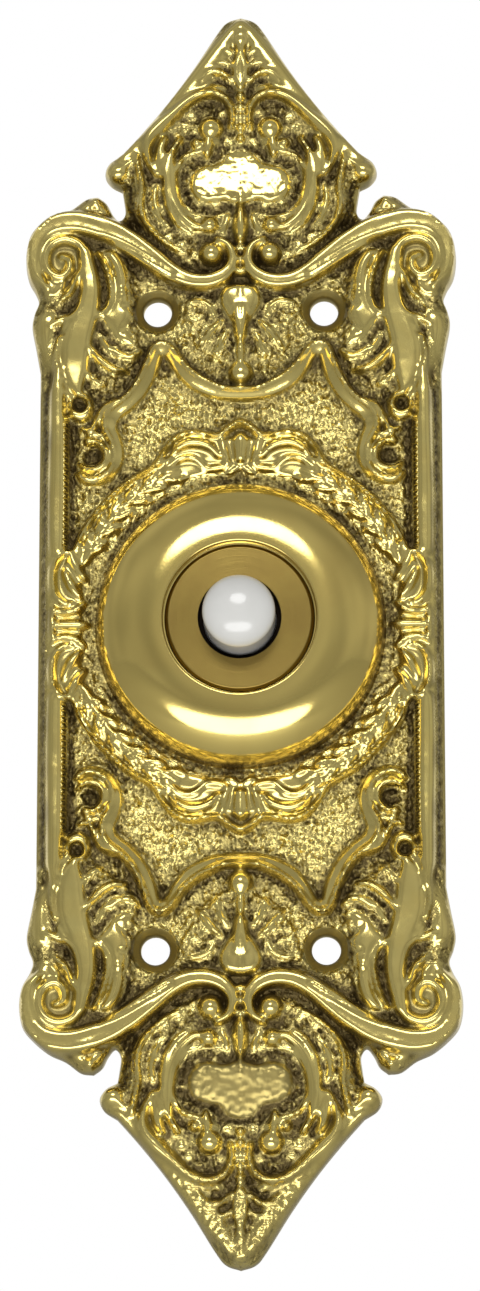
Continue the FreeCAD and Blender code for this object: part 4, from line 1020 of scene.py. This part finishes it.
def combine(piece, tool, operation="DIFFERENCE"):
    """Cuts a tool away from a piece, or keeps only what they share, and takes the tool out."""
    choose(piece)
    cut = piece.modifiers.new("cut", "BOOLEAN")
    cut.operation = operation
    cut.solver = "EXACT"
    cut.object = tool
    bpy.ops.object.modifier_apply(modifier=cut.name)
    bpy.data.objects.remove(tool)
    bpy.ops.object.shade_smooth_by_angle(angle=math.radians(35))


def drill(piece, radius, across, front, back):
    """Makes a round hole through a piece, towards the wall."""
    side = [(0, front), (radius, front), (radius, back), (0, back)]
    combine(piece, turned_piece("drill", side, 40, across))


base = turned_piece("phenolic_base", rounded([
    (0, BASE_FRONT, 0), (BASE_OUT, BASE_FRONT, 0.3), (BASE_OUT, BASE_BACK, 0.3), (0, BASE_BACK, 0),
]), 96)
for side in (-TERMINAL, TERMINAL):
    drill(base, TERMINAL_HOLE, side, BASE_FRONT - 1, BASE_BACK + 1)
phenolic, coat, place = new_finish("phenolic")
cloud = coat.clouds(place, 260.0, 5.0, Distortion=1.5)
speck = coat.clouds(place, 1800.0, 2.0)
coat.surface(
    (0.4, 0.00004, speck),
    Base_Color=coat.blend((cloud * 2.4 - 0.8).held(), (0.030, 0.021, 0.017), (0.085, 0.045, 0.028)),
    Roughness=0.34 + 0.16 * cloud + 0.06 * speck,
)
fitted(base, phenolic, "contact_base")


# Base ring: a turned brass ring that screws into the spigot's end, and holds the contact base
# against its step. It gets a plain machined finish, as do all the small metal pieces.
def machined(name, bright, dull, rough):
    """A machined metal: clouded colour, and a fine grain in its gloss and its surface."""
    material, coat, place = new_finish(name)
    cloud = coat.clouds(place, 330.0, 4.0)
    grain = coat.clouds(place, 2100.0, 3.0)
    coat.surface(
        (0.3, 0.00003, grain), Base_Color=coat.blend((cloud * 2.0 - 0.5).held(), bright, dull),
        Metallic=1.0, Roughness=rough + 0.12 * cloud + 0.06 * grain,
    )
    return material


def ring(name, bore, out, front, back, edge, steps=128, across=0.0):
    """A turned ring of a plain section with rounded edges."""
    middle = (bore + out) / 2
    return turned_piece(name, rounded([
        (middle, front, 0), (out, front, edge), (out, back, edge), (bore, back, edge), (bore, front, edge),
        (middle, front, 0),
    ], 4), steps, across)


base_ring = ring("turned_base_ring", 11.0, BASE_OUT, BASE_BACK, 5.9, 0.15)
ring_brass = machined("ring_turned_brass", (0.72, 0.55, 0.24), (0.58, 0.42, 0.17), 0.24)
fitted(base_ring, ring_brass, "base_ring")

# Contact leaf: a bent strip of phosphor bronze on the left terminal. It carries the button's boss,
# springs it back and makes the circuit. It is built in its resting shape.
STRIP_HALF, STRIP_THICK = 2.0, 0.35
LEAF_REST, STRIP_LEVEL = -2.225, 0.325


def contact_strip(name, path, across):
    """A strip of sheet metal bent along a path of (across, depth, bend) corners and drilled."""
    line = [np.array(path[0][:2], float)]
    for there in rounded(path, 7)[1:]:
        count = max(1, int(np.hypot(*(there - line[-1])) / 0.4))
        line += [line[-1] + (there - line[-1]) * share for share in np.linspace(0, 1, count + 1)[1:]]
    strip = drawn(name, line, -STRIP_HALF)
    bpy.ops.mesh.extrude_region_move(TRANSFORM_OT_translate={"value": (0, 0, 2 * STRIP_HALF * MM)})
    bpy.ops.object.mode_set(mode="OBJECT")
    skin = strip.modifiers.new("skin", "SOLIDIFY")
    skin.thickness = STRIP_THICK * MM
    skin.offset = 0.0
    bpy.ops.object.modifier_apply(modifier=skin.name)
    work_on(strip)
    bpy.ops.mesh.normals_make_consistent(inside=False)
    bpy.ops.object.mode_set(mode="OBJECT")
    drill(strip, TERMINAL_HOLE, across, STRIP_LEVEL - 1, STRIP_LEVEL + 1)
    return strip


leaf_spring = contact_strip("bronze_leaf", [
    (-10.1, STRIP_LEVEL, 0), (-5.5, STRIP_LEVEL, 1.2), (-2.2, LEAF_REST, 1.2), (2.4, LEAF_REST, 0),
], -TERMINAL)
leaf_spring.data.materials.append(machined("spring_bronze", (0.68, 0.44, 0.24), (0.52, 0.31, 0.16), 0.22))
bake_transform(leaf_spring)
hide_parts("contact_leaf")

# Fixed contact: a flat brass strip on the right terminal, with a silver stud under the leaf's end.
fixed_strip = contact_strip("brass_strip", [(0.2, STRIP_LEVEL, 0), (10.1, STRIP_LEVEL, 0)], TERMINAL)
strip_brass = machined("strip_brass", (0.74, 0.58, 0.26), (0.60, 0.45, 0.19), 0.22)
fitted(fixed_strip, strip_brass, "fixed_contact")
stud_side = rounded([(0, -0.2, 0), (1.0, -0.2, 0.14), (1.0, 0.15, 0), (0, 0.15, 0)])
stud = turned_piece("silver_stud", stud_side, 40, 1.4)
stud_silver = machined("stud_silver", (0.86, 0.85, 0.82), (0.66, 0.64, 0.60), 0.18)
fitted(stud, stud_silver, "contact_stud")

# Terminals: on each side a slotted brass screw through strip and base, a lock nut that clamps them,
# and a washer with a second nut that takes the bell wire.
HEAD_FRONT, HEAD_OUT, SCREW_OUT, SCREW_END = -1.25, 2.2, 1.3, 9.5
SLOT_HALF, SLOT_DEEP = 0.3, 0.7
NUT_FLATS = 4.6
NUTS = {"lock_nut": (4.1, 5.9), "terminal_nut": (6.4, 8.6)}


def block(name, middle, size, turn=0.0):
    """A cutting block, turned about the push's axis."""
    bpy.ops.object.select_all(action="DESELECT")
    middle = [value * MM for value in middle]
    bpy.ops.mesh.primitive_cube_add(size=MM, location=middle, rotation=(0, turn, 0), scale=size)
    bpy.context.object.name = name
    return bpy.context.object


def hexagon_nut(name, front, back):
    """A nut: a turned and bored blank with chamfered ends, kept only inside a hexagon bar."""
    chamfer, corner = 0.25, NUT_FLATS / math.sqrt(3)
    blank = corner + 0.05
    end = blank - 1.8 * chamfer
    nut = turned_piece(name, [
        (TERMINAL_HOLE, front), (end, front), (blank, front + chamfer), (blank, back - chamfer), (end, back),
        (TERMINAL_HOLE, back), (TERMINAL_HOLE, front),
    ], 60, -TERMINAL)
    bpy.ops.object.select_all(action="DESELECT")
    bpy.ops.mesh.primitive_cylinder_add(
        vertices=6, radius=corner * MM, depth=2 * (back - front) * MM,
        location=(-TERMINAL * MM, (front + back) / 2 * MM, 0), rotation=(math.pi / 2, math.pi / 6, 0),
    )
    combine(nut, bpy.context.object, "INTERSECT")
    return nut


def twin(piece, name):
    """A copy of a left terminal's piece for the right one, with its own mesh."""
    choose(piece)
    bpy.ops.object.duplicate(linked=False)
    copied = bpy.context.object
    copied.name = name
    copied.data.name = name
    work_on(copied)
    bpy.ops.transform.translate(value=(2 * TERMINAL * MM, 0, 0))
    bpy.ops.object.mode_set(mode="OBJECT")
    return copied


screw = turned_piece("slotted_screw_left", rounded([
    (0, HEAD_FRONT, 0), (HEAD_OUT, HEAD_FRONT, 0.2), (HEAD_OUT, 0.15, 0.05), (SCREW_OUT, 0.15, 0),
    (SCREW_OUT, 4.0, 0),
]) + thread(SCREW_OUT, 4.2, 9.1, 0.45, 0.2) + rounded([
    (SCREW_OUT, 9.2, 0), (1.0, SCREW_END, 0), (0, SCREW_END, 0),
]), 40, -TERMINAL)
combine(screw, block("slot", (-TERMINAL, HEAD_FRONT, 0), (3 * HEAD_OUT, 2 * SLOT_DEEP, 2 * SLOT_HALF)))
terminal_brass = machined("terminal_brass", (0.76, 0.60, 0.27), (0.60, 0.45, 0.18), 0.20)
left_pieces = [(screw, "slotted_screw", "terminal_screw")]
for node, (front, back) in NUTS.items():
    nut = hexagon_nut("hexagon_" + node + "_left", front, back)
    left_pieces.append((nut, "hexagon_" + node, node))
washer = ring("wire_washer_left", TERMINAL_HOLE, 2.6, 5.9, 6.4, 0.08, 48, -TERMINAL)
left_pieces.append((washer, "wire_washer", "terminal_washer"))
for piece, name, node in left_pieces:
    copied = twin(piece, name + "_right")
    fitted(piece, terminal_brass, node + "_left")
    fitted(copied, terminal_brass, node + "_right")

# Ring washer and ring nut: behind the plate, a zinc plated steel washer and a brass nut on the
# spigot's thread, with six notches for a pin spanner, draw the bezel down on the casting.
WASHER_OUT, RING_OUT, RING_FRONT, RING_BACK = 19.0, 18.0, 0.8, 3.8
NOTCHES, NOTCH_WIDE, NOTCH_DEEP = 6, 3.2, 1.6
ring_washer = ring("steel_washer", SPIGOT_BORE, WASHER_OUT, 0.0, RING_FRONT, 0.12)
washer_steel = machined("washer_steel", (0.62, 0.63, 0.63), (0.48, 0.49, 0.50), 0.26)
fitted(ring_washer, washer_steel, "ring_washer")
ring_nut = ring("notched_ring_nut", SPIGOT_BORE, RING_OUT, RING_FRONT, RING_BACK, 0.3)
for k in range(NOTCHES):
    turn = 2 * math.pi * k / NOTCHES
    middle = (RING_OUT * math.sin(turn), (RING_FRONT + RING_BACK) / 2, RING_OUT * math.cos(turn))
    combine(ring_nut, block("notch", middle, (NOTCH_WIDE, 2 * RING_BACK, 2 * NOTCH_DEEP), turn))
nut_brass = machined("nut_brass", (0.72, 0.56, 0.24), (0.56, 0.42, 0.17), 0.25)
fitted(ring_nut, nut_brass, "ring_nut")
